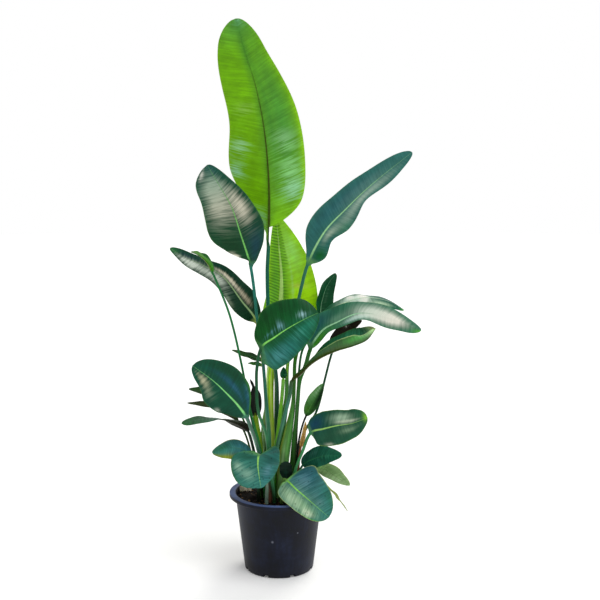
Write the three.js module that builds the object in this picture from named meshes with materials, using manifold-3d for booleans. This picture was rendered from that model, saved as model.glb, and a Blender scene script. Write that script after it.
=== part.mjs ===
// Giant white bird of paradise in a black nursery pot.
// Millimetres, +Z up. The origin is the middle of the pot's underside, +X is the plant's right
// as seen from the front and +Y points to the back.
import * as THREE from 'three';
import { mergeVertices } from 'three/addons/utils/BufferGeometryUtils.js';
import Module from 'manifold-3d';

// Pot
const RIM_DIAMETER = 300;
const POT_HEIGHT = 237;
const BASE_DIAMETER = 209;
const NECK_DIAMETER = 266;
const WALL = 3;
const FLOOR = 4;
const LIP_DEPTH = 12;
const LIP_THICKNESS = 3;
const BASE_BEVEL = 3;
const RIM_BEVEL = 1.5;
const POT_SIDES = 40;
const DRAIN_HOLES = 8;
const DRAIN_WIDTH = 16;
const DRAIN_HEIGHT = 9;
const DRAIN_LENGTH = 34;

// Soil
const SOIL_TOP = 219;
const SOIL_CROWN = 3;
const SOIL_SHOULDER = 0.7;
const SOIL_BEVEL = 1;
const GAP = 0.4;
const HOLE_DEPTH = 40;
const HOLE_SIDES = 10;
const FOOT_ABOVE = 12;

// Leaves
const BLADE = 1.0;
const NARROWEST = 0.9;
const RIB_DEPTH = 1.5;
const RIB_TIP_DEPTH = 1.6;
const RIB_TIP_HALF_WIDTH = 0.7;
const CHANNEL = 0.82;
const STALK_END = 0.985;
const SHEATH_START = 0.25;
const SHEATH_END = 0.6;
const RIB_TAPER = 1.6;
const BLADE_START = 0.012;
const ROW_CROWDING = 0.45;
const LOBE_FADE = 7;
const LARGE_COLUMNS = [1, 0.55, 0.12];
const SMALL_COLUMNS = [1, 0.5];
const STATIONS = [0, 0.08, 0.2, 0.35, 0.55, 0.75, 0.9, 1];
const OVAL = [0.6, 0.88, 1, 0.94, 0.7, 0.42];

const wasm = await Module();
wasm.setup();

const plant = new THREE.Group();

// A closed three.js mesh as a manifold solid.
function toSolid(geometry) {
  const bare = geometry.clone();
  bare.deleteAttribute('normal');
  bare.deleteAttribute('uv');
  const merged = mergeVertices(bare, 1e-4);
  return new wasm.Manifold(new wasm.Mesh({
    numProp: 3,
    vertProperties: new Float32Array(merged.attributes.position.array),
    triVerts: new Uint32Array(merged.index.array),
  }));
}

// A manifold solid as a three.js geometry.
function toGeometry(solid) {
  const mesh = solid.getMesh();
  const geometry = new THREE.BufferGeometry();
  geometry.setAttribute('position', new THREE.BufferAttribute(new Float32Array(mesh.vertProperties), 3));
  geometry.setIndex(new THREE.BufferAttribute(new Uint32Array(mesh.triVerts), 1));
  geometry.computeVertexNormals();
  return geometry;
}

// Adds a named piece with a plain material.
function addPiece(name, geometry, color, roughness) {
  const material = new THREE.MeshStandardMaterial({ color, roughness, metalness: 0 });
  const mesh = new THREE.Mesh(geometry, material);
  mesh.name = name;
  plant.add(mesh);
}

// Radius of the pot's outer wall at height z.
function wallRadius(z) {
  return (BASE_DIAMETER + (NECK_DIAMETER - BASE_DIAMETER) * z / POT_HEIGHT) / 2;
}

// Pot: a tapered bucket with a flat base, an out-turned rim with a down-turned lip, and drain
// holes cut through the corner of wall and floor.
function makePot() {
  const rim = RIM_DIAMETER / 2;
  const shelf = POT_HEIGHT - LIP_THICKNESS;
  const profile = [
    [0, 0],
    [BASE_DIAMETER / 2 - BASE_BEVEL, 0],
    [wallRadius(BASE_BEVEL), BASE_BEVEL],
    [wallRadius(shelf), shelf],
    [rim - LIP_THICKNESS, shelf],
    [rim - LIP_THICKNESS, POT_HEIGHT - LIP_DEPTH],
    [rim, POT_HEIGHT - LIP_DEPTH],
    [rim, POT_HEIGHT - RIM_BEVEL],
    [rim - RIM_BEVEL, POT_HEIGHT],
    [wallRadius(POT_HEIGHT) - WALL + RIM_BEVEL, POT_HEIGHT],
    [wallRadius(POT_HEIGHT) - WALL, POT_HEIGHT - RIM_BEVEL],
    [wallRadius(FLOOR) - WALL, FLOOR],
    [0, FLOOR],
  ].map(([r, z]) => new THREE.Vector2(r, z));
  const bucket = new THREE.LatheGeometry(profile, POT_SIDES);
  bucket.rotateX(Math.PI / 2);
  let solid = toSolid(bucket);
  for (let i = 0; i < DRAIN_HOLES; i += 1) {
    const angle = (i + 0.5) * 2 * Math.PI / DRAIN_HOLES;
    const cutter = new THREE.BoxGeometry(DRAIN_LENGTH, DRAIN_WIDTH, 2 * DRAIN_HEIGHT);
    cutter.translate(BASE_DIAMETER / 2, 0, 0);
    cutter.rotateZ(angle);
    solid = solid.subtract(toSolid(cutter));
  }
  addPiece('pot', toGeometry(solid), 0x23252f, 0.5);
}

const stems = [];

// Soil: one plug that fills the pot to just under the rim, slightly crowned, with a plain round
// hole for each leaf stalk.
function makeSoil() {
  const inside = (z) => wallRadius(z) - WALL - GAP;
  const bottom = FLOOR + GAP;
  const profile = [
    [0, bottom],
    [inside(bottom) - SOIL_BEVEL, bottom],
    [inside(bottom + SOIL_BEVEL), bottom + SOIL_BEVEL],
    [inside(SOIL_TOP), SOIL_TOP],
    [inside(SOIL_TOP) * SOIL_SHOULDER, SOIL_TOP + SOIL_CROWN / 2],
    [0, SOIL_TOP + SOIL_CROWN],
  ].map(([r, z]) => new THREE.Vector2(r, z));
  const plug = new THREE.LatheGeometry(profile, POT_SIDES);
  plug.rotateX(Math.PI / 2);
  let solid = toSolid(plug);
  for (const { x, y, radius } of stems) {
    const across = radius / Math.cos(Math.PI / HOLE_SIDES);
    const hole = new THREE.CylinderGeometry(across, across, 2 * HOLE_DEPTH, HOLE_SIDES);
    hole.rotateX(Math.PI / 2);
    hole.translate(x, y, SOIL_TOP);
    solid = solid.subtract(toSolid(hole));
  }
  addPiece('soil', toGeometry(solid), 0x1d1512, 0.95);
}

// Half-width at u from the six widths of one side, rounded at both ends.
function halfWidth(widths, u) {
  const squares = [0, ...widths.map((w) => w * w), 0];
  let k = 0;
  while (k < STATIONS.length - 2 && u > STATIONS[k + 1]) k += 1;
  const t = (u - STATIONS[k]) / (STATIONS[k + 1] - STATIONS[k]);
  const slope = (i) => {
    const a = Math.max(i - 1, 0);
    const b = Math.min(i + 1, squares.length - 1);
    return (squares[b] - squares[a]) / (STATIONS[b] - STATIONS[a]);
  };
  const span = STATIONS[k + 1] - STATIONS[k];
  const value = (2 * t ** 3 - 3 * t ** 2 + 1) * squares[k] + (t ** 3 - 2 * t ** 2 + t) * slope(k) * span
    + (3 * t ** 2 - 2 * t ** 3) * squares[k + 1] + (t ** 3 - t ** 2) * slope(k + 1) * span;
  return Math.sqrt(Math.max(value, 0));
}

// Even steps of arc length along one stretch of a curve, as curve parameters.
function evenSteps(curve, from, to) {
  const parameters = [];
  const lengths = [];
  let total = 0;
  let last = curve.getPoint(from);
  for (let i = 0; i <= 80; i += 1) {
    const t = from + (to - from) * i / 80;
    const point = curve.getPoint(t);
    total += point.distanceTo(last);
    parameters.push(t);
    lengths.push(total);
    last = point;
  }
  const at = (u) => {
    const goal = u * total;
    let k = 0;
    while (k < 79 && lengths[k + 1] < goal) k += 1;
    const part = (goal - lengths[k]) / (lengths[k + 1] - lengths[k]);
    return parameters[k] + (parameters[k + 1] - parameters[k]) * part;
  };
  return { at, total };
}

// One leaf: a round stalk from its hole in the soil, and a blade on a raised midrib.
// stem: points from the foot to just before the blade. rib: points of the midrib from the
// blade's base to its tip. face: way that the upper side looks, at the base and at the tip.
// left, right: a half-width, or six of them along the blade, as seen on the upper side with the
// tip up. fold: angle of each half to the flat at the base and the tip, positive to the upper
// side. cup: further turn towards the edge. wave: height and number of the edge's waves.
// lobe: how far each half reaches back past the blade's base. thick: stalk radius, foot and top.
function makeLeaf(name, color, p) {
  const points = [...p.stem, ...p.rib].map((q) => new THREE.Vector3(...q));
  const bottom = points[0];
  const [footRadius, topRadius] = p.thick;
  stems.push({ x: bottom.x, y: bottom.y, radius: footRadius + GAP });
  const curve = new THREE.CatmullRomCurve3(points, false, 'centripetal');
  const join = p.stem.length / (points.length - 1);
  const onStem = evenSteps(curve, 0, join);
  const onBlade = evenSteps(curve, join, 1);
  const reach = p.small ? SMALL_COLUMNS : LARGE_COLUMNS;
  const half = reach.length;
  const columns = 2 * half + 1;
  const stemRows = p.small ? 5 : 6;
  const sides = [
    { sign: -1, widths: p.left, fold: p.foldLeft ?? p.fold, cup: p.cupLeft ?? p.cup ?? 0 },
    { sign: 1, widths: p.right, fold: p.foldRight ?? p.fold, cup: p.cupRight ?? p.cup ?? 0 },
  ];
  for (const side of sides) {
    if (typeof side.widths === 'number') side.widths = OVAL.map((w) => w * side.widths);
    side.lobe = (p.lobe ?? [4, 4])[side.sign < 0 ? 0 : 1];
  }
  const [waveHeight, waveCount, wavePhase] = p.wave ?? [2, 2.5, 0];
  const faceBase = new THREE.Vector3(...p.face[0]);
  const faceTip = new THREE.Vector3(...p.face[1]);

  const frameAt = (t, u) => {
    const origin = curve.getPoint(t);
    const ahead = curve.getTangent(t);
    const look = faceBase.clone().lerp(faceTip, u);
    const across = ahead.clone().cross(look).normalize();
    const up = across.clone().cross(ahead).normalize();
    return { origin, ahead, across, up };
  };

  const straight = (HOLE_DEPTH + FOOT_ABOVE - 4) / onStem.total;
  const top = [];
  const under = [];

  // Stalk: rings with a shallow channel along the upper side.
  for (let i = 0; i <= stemRows; i += 1) {
    const s = i === 0 ? 0 : straight + (STALK_END - straight) * (i - 1) / (stemRows - 1);
    const { origin, across, up } = frameAt(onStem.at(s), 0);
    const slim = THREE.MathUtils.smoothstep(s, SHEATH_START, SHEATH_END);
    const radius = footRadius + (topRadius - footRadius) * slim;
    for (const [list, turn] of [[top, 1], [under, -1]]) {
      for (let j = 0; j < columns; j += 1) {
        const angle = Math.PI * (1 - (j + 0.5) / columns) * turn;
        const middle = turn > 0 && j === half ? CHANNEL : 1;
        list.push(origin.clone()
          .addScaledVector(across, radius * Math.cos(angle))
          .addScaledVector(up, radius * Math.sin(angle) * middle));
      }
    }
  }

  // Blade: two or three columns on each side of the midrib, the outermost on the edge.
  for (let i = 0; i <= p.rows; i += 1) {
    const x = BLADE_START + (1 - BLADE_START) * i / p.rows;
    const u = Math.min(x - Math.sin(2 * Math.PI * x) / (2 * Math.PI) * ROW_CROWDING, 1);
    const { origin, ahead, across, up } = frameAt(onBlade.at(u), u);
    const ribHalf = topRadius * (1 - u) ** RIB_TAPER + RIB_TIP_HALF_WIDTH * u;
    const ribDepth = topRadius * RIB_DEPTH * (1 - u) ** 1.3 + RIB_TIP_DEPTH * u;
    const rowTop = [];
    const rowUnder = [];
    for (const side of sides) {
      const width = Math.max(halfWidth(side.widths, u), NARROWEST);
      const fold = THREE.MathUtils.degToRad(side.fold[0] + (side.fold[1] - side.fold[0]) * u);
      const cup = THREE.MathUtils.degToRad(side.cup || 0.5);
      const swell = Math.sin(Math.PI * Math.min(u * 1.05, 1));
      for (const part of reach) {
        const v = part < 0.3 ? Math.min(ribHalf / width, 0.3) : part;
        const out = width / cup * (Math.sin(fold + cup * v) - Math.sin(fold));
        const lift = width / cup * (Math.cos(fold) - Math.cos(fold + cup * v));
        const phase = waveCount * u + wavePhase + (side.sign > 0 ? 0.3 : 0);
        const ripple = waveHeight * swell * v * v * Math.sin(2 * Math.PI * phase);
        const back = side.lobe * v * (1 - u) ** LOBE_FADE;
        const point = origin.clone()
          .addScaledVector(across, side.sign * out)
          .addScaledVector(up, lift + ripple)
          .addScaledVector(ahead, -back);
        const tilt = fold + cup * v;
        const normal = up.clone().multiplyScalar(Math.cos(tilt))
          .addScaledVector(across, -side.sign * Math.sin(tilt));
        rowTop.push(point);
        rowUnder.push(point.clone().addScaledVector(normal, -BLADE));
      }
    }
    const keel = origin.clone().addScaledVector(up, -Math.max(ribDepth, BLADE));
    const acrossRow = (row, middle) => [...row.slice(0, half), middle, ...row.slice(half).reverse()];
    top.push(...acrossRow(rowTop, origin));
    under.push(...acrossRow(rowUnder, keel));
  }

  // The two faces, the edges between them and the ends, as one closed skin.
  const rows = top.length / columns;
  const shift = top.length;
  const index = [];
  const quad = (a, b, c, d) => index.push(a, b, c, a, c, d);
  for (let i = 0; i < rows - 1; i += 1) {
    for (let j = 0; j < columns - 1; j += 1) {
      const a = i * columns + j;
      const b = a + 1;
      const c = b + columns;
      const d = a + columns;
      if (j < half) {
        index.push(a, b, c, a, c, d);
        index.push(a + shift, c + shift, b + shift, a + shift, d + shift, c + shift);
      } else {
        index.push(a, b, d, b, c, d);
        index.push(a + shift, d + shift, b + shift, b + shift, d + shift, c + shift);
      }
    }
    const leftEdge = i * columns;
    const rightEdge = leftEdge + columns - 1;
    quad(rightEdge + shift, rightEdge + columns + shift, rightEdge + columns, rightEdge);
    quad(leftEdge, leftEdge + columns, leftEdge + columns + shift, leftEdge + shift);
  }
  const end = (rows - 1) * columns;
  for (let j = 0; j < columns - 1; j += 1) {
    quad(j + shift, j + 1 + shift, j + 1, j);
    quad(end + j, end + j + 1, end + j + 1 + shift, end + j + shift);
  }
  const geometry = new THREE.BufferGeometry();
  geometry.setAttribute('position', new THREE.Float32BufferAttribute(
    [...top, ...under].flatMap((v) => [v.x, v.y, v.z]),
    3,
  ));
  geometry.setIndex(index);
  geometry.computeVertexNormals();
  addPiece(name, geometry, color, 0.4);
}

// Foot of a stalk: straight down into its hole.
function foot(x, y) {
  const bottom = SOIL_TOP - HOLE_DEPTH + GAP;
  return [[x, y, bottom], [x, y, SOIL_TOP - 6], [x, y, SOIL_TOP + FOOT_ABOVE]];
}

const LIME = 0x6fb01c;
const GREEN = 0x1f5a36;
const DARK = 0x0f4034;
const PALE = 0x8fb27a;
const TAN = 0xb08a50;

// The tallest leaf, upright at the back, its lower side to the front.
makeLeaf('leaf_giant_lime', LIME, {
  stem: [
    ...foot(-2, 44), [-5, 56, 379], [-6, 60, 488], [-7, 58, 567], [-17, 48, 662], [-29, 44, 761],
    [-33, 40, 900],
  ],
  rib: [
    [-29, 48, 987], [-27, 52, 1162], [-41, 40, 1328], [-66, 15, 1452], [-91, -10, 1529],
    [-117, -50, 1625],
  ],
  face: [[0, 1, 0.1], [0.1, 1, 0.2]],
  left: [18, 100, 112, 105, 72, 50],
  right: [24, 77, 117, 102, 97, 72],
  fold: [8, 4],
  cup: 6,
  wave: [4, 3, 0.1],
  lobe: [0, 0],
  thick: [9, 5.5],
  rows: 16,
});

// Second upright leaf, behind the tallest one's stalk.
makeLeaf('leaf_second_lime', LIME, {
  stem: [...foot(-29, 38), [-25, 40, 384], [-27, 54, 491], [-26, 72, 567], [-21, 86, 620]],
  rib: [[-4, 92, 698], [10, 112, 807], [11, 124, 882], [4, 138, 958], [-6, 158, 1058]],
  face: [[0.1, 1, -0.1], [0.1, 1, -0.2]],
  left: [107, 116, 110, 94, 67, 37],
  right: [60, 72, 62, 50, 35, 20],
  foldLeft: [4, 4],
  foldRight: [35, 25],
  cup: 4,
  wave: [4, 3, 0],
  thick: [12, 12],
  rows: 14,
});

// Dark glossy leaf at the upper left.
makeLeaf('leaf_upper_left', DARK, {
  stem: [
    ...foot(-36, -12), [-30, -12, 398], [-37, -9, 505], [-42, -6, 581], [-47, -5, 648],
    [-53, -7, 703], [-63, -9, 766], [-72, -22, 862],
  ],
  rib: [[-82, -34, 931], [-108, -62, 1022], [-132, -88, 1100], [-170, -120, 1172], [-196, -140, 1219]],
  face: [[0, -1, 0.2], [0, -1, 0.3]],
  left: [16, 56, 86, 84, 70, 58],
  right: [34, 60, 72, 58, 40, 24],
  fold: [10, 6],
  cup: -8,
  wave: [4, 2.5, 0.2],
  thick: [7.5, 4.5],
  rows: 14,
});

// Leaf folded along its rib, its edge arching over the long left leaf.
makeLeaf('leaf_folded_left', GREEN, {
  stem: [...foot(-42, -26), [-54, -44, 370], [-82, -58, 490], [-109, -75, 650], [-142, -90, 797]],
  rib: [[-188, -100, 918], [-196, -96, 936], [-211, -86, 952], [-231, -66, 963], [-252, -36, 968]],
  face: [[0.5, 0.1, 1], [0.2, 0, 1]],
  left: 15,
  right: 15,
  fold: [48, 40],
  cup: 6,
  wave: [2, 2, 0],
  thick: [5.5, 3.5],
  rows: 9,
  small: true,
});

// Long leaf reaching out to the left.
makeLeaf('leaf_long_left', DARK, {
  stem: [
    ...foot(-40, 8), [-40, 8, 430], [-39, 10, 501], [-43, 12, 577], [-48, 12, 638], [-53, 8, 676],
  ],
  rib: [
    [-67, 15, 758], [-108, 15, 815], [-167, 24, 891], [-219, 36, 919], [-279, 54, 944],
    [-325, 70, 970],
  ],
  face: [[0.1, -0.9, 0.4], [0, -0.8, 0.6]],
  right: [32, 46, 38, 27, 22, 18],
  left: [30, 38, 36, 35, 28, 15],
  fold: [6, 6],
  cup: -6,
  wave: [3, 3, 0.4],
  thick: [6.5, 4.5],
  rows: 14,
});

// Long leaf rising to the upper right, with a waved lower edge.
makeLeaf('leaf_upper_right', DARK, {
  stem: [
    ...foot(-10, 18), [10, 16, 421], [24, 19, 520], [26, 25, 605], [39, 34, 701], [63, 44, 827],
  ],
  rib: [[91, 58, 928], [141, 72, 1020], [205, 88, 1086], [253, 98, 1132], [308, 108, 1179], [406, 120, 1255]],
  face: [[0, -1, 0.2], [0, -1, 0.3]],
  left: [24, 54, 58, 50, 38, 27],
  right: [42, 35, 50, 25, 32, 21],
  fold: [6, 6],
  cup: 4,
  wave: [5, 3.5, 0.3],
  thick: [11, 5],
  rows: 17,
});

// Small upright leaf behind the two arching ones.
makeLeaf('leaf_small_upright', DARK, {
  stem: [...foot(30, 28), [54, 36, 463], [62, 46, 597], [73, 58, 660], [99, 76, 700]],
  rib: [[125, 96, 748], [132, 112, 794], [148, 122, 844], [177, 128, 886]],
  face: [[0.5, -0.9, 0], [0.6, -0.8, 0.2]],
  left: 40,
  right: 34,
  fold: [35, 25],
  cup: 4,
  thick: [5.5, 3.5],
  rows: 8,
  small: true,
});

// Upper one of the two leaves that arch to the right.
makeLeaf('leaf_arching_back', GREEN, {
  stem: [
    ...foot(8, -14), [14, -13, 336], [30, -8, 428], [43, -2, 503], [47, 8, 578], [51, 20, 642],
    [77, 42, 709],
  ],
  rib: [[132, 70, 761], [188, 78, 796], [265, 96, 815], [343, 118, 799], [390, 130, 771]],
  face: [[0, -0.5, 0.85], [0, -0.5, 0.85]],
  left: [20, 34, 38, 32, 22, 12],
  right: [22, 40, 44, 38, 28, 16],
  fold: [-12, -18],
  cup: -10,
  wave: [3, 3, 0],
  thick: [17, 5.5],
  rows: 13,
});

// Lower and larger one of the two, drooping at its tip.
makeLeaf('leaf_arching_front', GREEN, {
  stem: [
    ...foot(40, 4), [48, 6, 392], [53, -8, 462], [57, -15, 519], [63, -12, 580], [80, -5, 624],
  ],
  rib: [
    [97, -14, 682], [132, -30, 736], [171, -46, 761], [234, -72, 792], [321, -104, 783],
    [407, -130, 751],
  ],
  face: [[0, -0.75, 0.65], [0, -0.7, 0.7]],
  left: [40, 56, 50, 42, 34, 20],
  right: [20, 26, 24, 26, 32, 24],
  foldLeft: [6, 0],
  foldRight: [30, -20],
  cup: -6,
  wave: [4, 3, 0.2],
  thick: [11, 6],
  rows: 15,
});

// Leaf in the shade below the arching pair.
makeLeaf('leaf_shaded', DARK, {
  stem: [...foot(55, 20), [72, 18, 400], [115, 26, 477], [141, 40, 575], [157, 48, 636]],
  rib: [[167, 52, 664], [184, 58, 692], [214, 66, 721], [254, 72, 748]],
  face: [[0, -0.6, 0.8], [0, -0.6, 0.8]],
  left: 30,
  right: 20,
  fold: [10, 5],
  thick: [5, 3.5],
  rows: 8,
  small: true,
});

// Boat-shaped leaf to the right, its rib at the bottom of the fold.
makeLeaf('leaf_boat_right', GREEN, {
  stem: [
    ...foot(-26, -40), [-5, -41, 385], [7, -41, 437], [18, -42, 483], [28, -44, 523],
    [35, -46, 556],
  ],
  rib: [
    [40, -42, 590], [62, -47, 609], [89, -56, 638], [124, -66, 663], [170, -84, 686],
    [215, -100, 702], [254, -116, 723], [277, -124, 756],
  ],
  face: [[0, -0.35, 0.95], [0, -0.35, 0.95]],
  left: [6, 8, 18, 44, 50, 40],
  right: [8, 10, 22, 44, 58, 52],
  foldLeft: [45, 35],
  foldRight: [60, 52],
  cup: 4,
  wave: [2, 3, 0],
  thick: [7, 5.5],
  rows: 13,
});

// Round leaf at the front, in the middle of the plant.
makeLeaf('leaf_centre', GREEN, {
  stem: [
    ...foot(-14, -62), [-32, -60, 381], [-38, -64, 431], [-48, -70, 463], [-58, -77, 495],
    [-63, -83, 527], [-64, -90, 576], [-63, -97, 634],
  ],
  rib: [[-48, -110, 701], [-12, -120, 730], [21, -127, 754], [73, -124, 783], [114, -110, 800]],
  face: [[-0.15, -1, 0.25], [-0.1, -1, 0.3]],
  left: [50, 76, 86, 84, 70, 52],
  right: [78, 83, 80, 70, 55, 33],
  fold: [6, 4],
  cup: -12,
  wave: [3, 2.5, 0.1],
  lobe: [4, 42],
  thick: [5.5, 4.5],
  rows: 14,
});

// Narrow dark tip that shows left of the round leaf.
makeLeaf('leaf_narrow_left', DARK, {
  stem: [...foot(-44, 26), [-45, 25, 425], [-38, 30, 496], [-43, 34, 566], [-45, 38, 605]],
  rib: [[-48, 40, 628], [-65, 34, 639], [-101, 20, 654], [-139, 2, 671]],
  face: [[0.1, -0.7, 0.7], [0, -0.6, 0.8]],
  left: 12,
  right: 12,
  fold: [10, 5],
  thick: [4, 3],
  rows: 7,
  small: true,
});

// Small light tip below it.
makeLeaf('leaf_light_tip', GREEN, {
  stem: [...foot(-50, 40), [-51, 38, 422], [-40, 43, 499], [-44, 50, 569], [-45, 52, 593]],
  rib: [[-50, 48, 613], [-68, 36, 622], [-92, 20, 627]],
  face: [[0.1, -0.9, 0.5], [0, -0.7, 0.7]],
  left: 7,
  right: 7,
  fold: [10, 5],
  thick: [3.5, 2.5],
  rows: 5,
  small: true,
});

// Broad leaf at the middle left.
makeLeaf('leaf_broad_left', DARK, {
  stem: [...foot(-28, -56), [-51, -62, 345], [-59, -70, 378], [-68, -79, 414], [-79, -91, 451]],
  rib: [[-95, -103, 495], [-117, -114, 530], [-143, -128, 563], [-185, -148, 610], [-242, -172, 660]],
  face: [[-0.1, -0.9, 0.3], [-0.1, -0.8, 0.5]],
  right: [20, 46, 67, 72, 57, 38],
  left: [26, 42, 58, 62, 42, 26],
  foldLeft: [4, 4],
  foldRight: [8, 4],
  cupRight: 14,
  cupLeft: -8,
  wave: [4, 2.5, 0.3],
  lobe: [4, 10],
  thick: [7, 5.5],
  rows: 14,
});

// Small dark leaf behind the stalks.
makeLeaf('leaf_dark_inner', DARK, {
  stem: [...foot(-58, -8), [-55, -14, 362], [-59, -19, 407], [-66, -23, 445]],
  rib: [[-70, -26, 478], [-71, -27, 510], [-70, -29, 541], [-75, -31, 567], [-84, -33, 589]],
  face: [[0.2, -1, 0.1], [0.2, -1, 0.2]],
  left: [15, 20, 20, 17, 6, 4],
  right: [15, 20, 20, 17, 6, 4],
  fold: [10, 5],
  thick: [10, 8.5],
  rows: 6,
  small: true,
});

// Long narrow leaf held level to the left, seen on its edge.
makeLeaf('leaf_level_left', DARK, {
  stem: [...foot(-62, -42), [-66, -54, 330], [-78, -60, 400]],
  rib: [[-92, -66, 442], [-142, -90, 479], [-213, -124, 494], [-278, -144, 486]],
  face: [[0, 0.6, 0.8], [0, -0.35, 1]],
  left: [19, 30, 32, 30, 27, 20],
  right: [19, 30, 32, 30, 27, 20],
  fold: [8, 0],
  cup: -6,
  wave: [2, 2.5, 0],
  thick: [5, 3.5],
  rows: 11,
});

// Two leaves whose tips show past the broad left leaf.
makeLeaf('leaf_high_tip_left', GREEN, {
  stem: [...foot(-62, 10), [-82, 14, 377], [-107, 22, 452]],
  rib: [[-132, 34, 496], [-196, 64, 526], [-277, 92, 533]],
  face: [[0, -0.6, 0.8], [0, -0.5, 0.85]],
  left: 22,
  right: 22,
  fold: [8, 5],
  thick: [4.5, 3],
  rows: 7,
  small: true,
});
makeLeaf('leaf_low_tip_left', DARK, {
  stem: [...foot(-56, -28), [-84, -32, 369], [-102, -30, 427]],
  rib: [[-123, -26, 464], [-190, -14, 504], [-274, 0, 511]],
  face: [[0, -0.6, 0.8], [0, -0.5, 0.85]],
  left: 14,
  right: 14,
  fold: [8, 5],
  thick: [4.5, 3],
  rows: 7,
  small: true,
});

// Low leaf folded down at the left.
makeLeaf('leaf_low_left', DARK, {
  stem: [...foot(-60, -60), [-66, -70, 320]],
  rib: [[-82, -76, 368], [-105, -80, 388], [-140, -86, 396], [-195, -98, 386]],
  face: [[0, -0.75, 0.65], [0, -0.7, 0.7]],
  left: [14, 26, 35, 35, 27, 16],
  right: [14, 25, 33, 33, 25, 15],
  fold: [-10, -15],
  cup: -8,
  wave: [2, 2, 0],
  thick: [5, 3.5],
  rows: 8,
  small: true,
});

// Low round leaf at the front left, its tip hanging down.
makeLeaf('leaf_low_front', GREEN, {
  stem: [...foot(-37, -71), [-36, -84, 305], [-49, -101, 368]],
  rib: [[-58, -114, 381], [-61, -126, 357], [-58, -134, 330], [-52, -140, 291]],
  face: [[0, -1, 0.3], [0, -1, 0.2]],
  right: [70, 80, 80, 76, 66, 50],
  left: [58, 64, 64, 55, 40, 20],
  fold: [-4, -4],
  cup: -14,
  wave: [3, 2.5, 0.2],
  lobe: [62, 8],
  thick: [5.5, 4],
  rows: 12,
});

// Low leaf at the front right that hangs over the rim.
makeLeaf('leaf_over_rim', GREEN, {
  stem: [...foot(8, -68), [8, -76, 270], [12, -86, 300]],
  rib: [[24, -100, 300], [50, -130, 284], [76, -152, 268], [109, -174, 245], [143, -190, 220]],
  face: [[-0.1, -0.8, 0.6], [-0.1, -0.85, 0.5]],
  right: [44, 50, 49, 48, 42, 30],
  left: [86, 89, 81, 73, 60, 40],
  fold: [-2, -2],
  cup: -10,
  wave: [3, 2.5, 0.35],
  lobe: [4, 12],
  thick: [5.5, 4],
  rows: 13,
});

// Dark pointed leaf low at the right.
makeLeaf('leaf_pointed_right', DARK, {
  stem: [...foot(30, -30), [50, -28, 281]],
  rib: [[73, -30, 326], [100, -42, 346], [129, -54, 359], [186, -76, 368]],
  face: [[0, -0.7, 0.7], [0, -0.6, 0.8]],
  left: 40,
  right: 34,
  fold: [4, 0],
  cup: -8,
  wave: [2, 2, 0.2],
  thick: [5, 3.5],
  rows: 8,
  small: true,
});

// Pale leaf that hangs down at the right, its lower side to the front.
makeLeaf('leaf_pale_right', PALE, {
  stem: [...foot(66, 2), [74, 1, 276]],
  rib: [[109, 8, 306], [137, 16, 300], [175, 28, 272], [218, 40, 238]],
  face: [[0.3, 0.9, 0.4], [0.4, 0.9, 0.3]],
  left: 32,
  right: 30,
  fold: [4, 0],
  cup: 6,
  wave: [2, 2, 0],
  thick: [4.5, 3],
  rows: 8,
  small: true,
});
makeLeaf('leaf_sliver_right', PALE, {
  stem: [...foot(48, -42), [58, -43, 256], [90, -46, 270]],
  rib: [[125, -54, 278], [150, -64, 264], [172, -72, 242], [204, -84, 200]],
  face: [[0.8, -0.1, 0.6], [0.8, -0.1, 0.5]],
  left: 12,
  right: 12,
  fold: [5, 0],
  thick: [4, 2.8],
  rows: 7,
  small: true,
});

// Leaf at the middle right, its tip rounded.
makeLeaf('leaf_middle_right', DARK, {
  stem: [...foot(36, -50), [50, -53, 320], [70, -60, 376]],
  rib: [[95, -72, 437], [130, -88, 452], [169, -108, 467], [213, -130, 480], [254, -150, 501]],
  face: [[0, -0.85, 0.5], [0, -0.8, 0.5]],
  left: [44, 54, 52, 47, 44, 32],
  right: [38, 50, 56, 54, 42, 24],
  fold: [2, -4],
  cup: -8,
  wave: [3, 2.5, 0.1],
  thick: [6.5, 4.5],
  rows: 13,
});

// Small upright green leaf at the right.
makeLeaf('leaf_small_right', GREEN, {
  stem: [...foot(52, -6), [60, -2, 389], [74, 0, 448]],
  rib: [[84, 2, 472], [95, 6, 493], [109, 12, 518], [135, 22, 563]],
  face: [[-0.3, -0.9, 0.1], [-0.3, -0.9, 0.2]],
  left: 21,
  right: 22,
  fold: [20, 15],
  cup: 4,
  thick: [4.5, 3],
  rows: 8,
  small: true,
});

// Small dark leaf between the two low front ones.
makeLeaf('leaf_dark_centre', DARK, {
  stem: [...foot(2, -56), [20, -57, 273]],
  rib: [[22, -57, 291], [21, -58, 310], [20, -60, 329], [19, -62, 347]],
  face: [[0, -1, 0.2], [0, -1, 0.3]],
  left: [8, 14, 18, 19, 18, 13],
  right: [8, 14, 18, 19, 18, 13],
  fold: [6, 4],
  thick: [4.5, 3],
  rows: 6,
  small: true,
});

// New leaf in the middle of the clump, still rolled, its tip just above its stalk.
makeLeaf('leaf_rolled', GREEN, {
  stem: [...foot(-18, -12), [-10, -14, 368], [-2, -12, 429], [8, -8, 511], [13, -6, 569]],
  rib: [[14, -5, 588], [15, -5, 604], [15, -6, 620]],
  face: [[0, -1, 0.1], [0, -1, 0.1]],
  left: 13,
  right: 13,
  fold: [35, 35],
  cup: 4,
  wave: [0, 1, 0],
  thick: [7, 5.5],
  rows: 6,
  small: true,
});

// Dried stalk of an old leaf that still stands among the green ones.
makeLeaf('dried_stalk', TAN, {
  stem: [...foot(54, -18), [62, -17, 359]],
  rib: [[67, -16, 380], [74, -16, 411], [81, -17, 455]],
  face: [[0, -1, 0.1], [0, -1, 0.1]],
  left: [6, 7, 7, 6, 5, 3],
  right: [6, 7, 7, 6, 5, 3],
  fold: [15, 5],
  thick: [4, 3],
  rows: 5,
  small: true,
});

makePot();
makeSoil();

export default plant;
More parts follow.
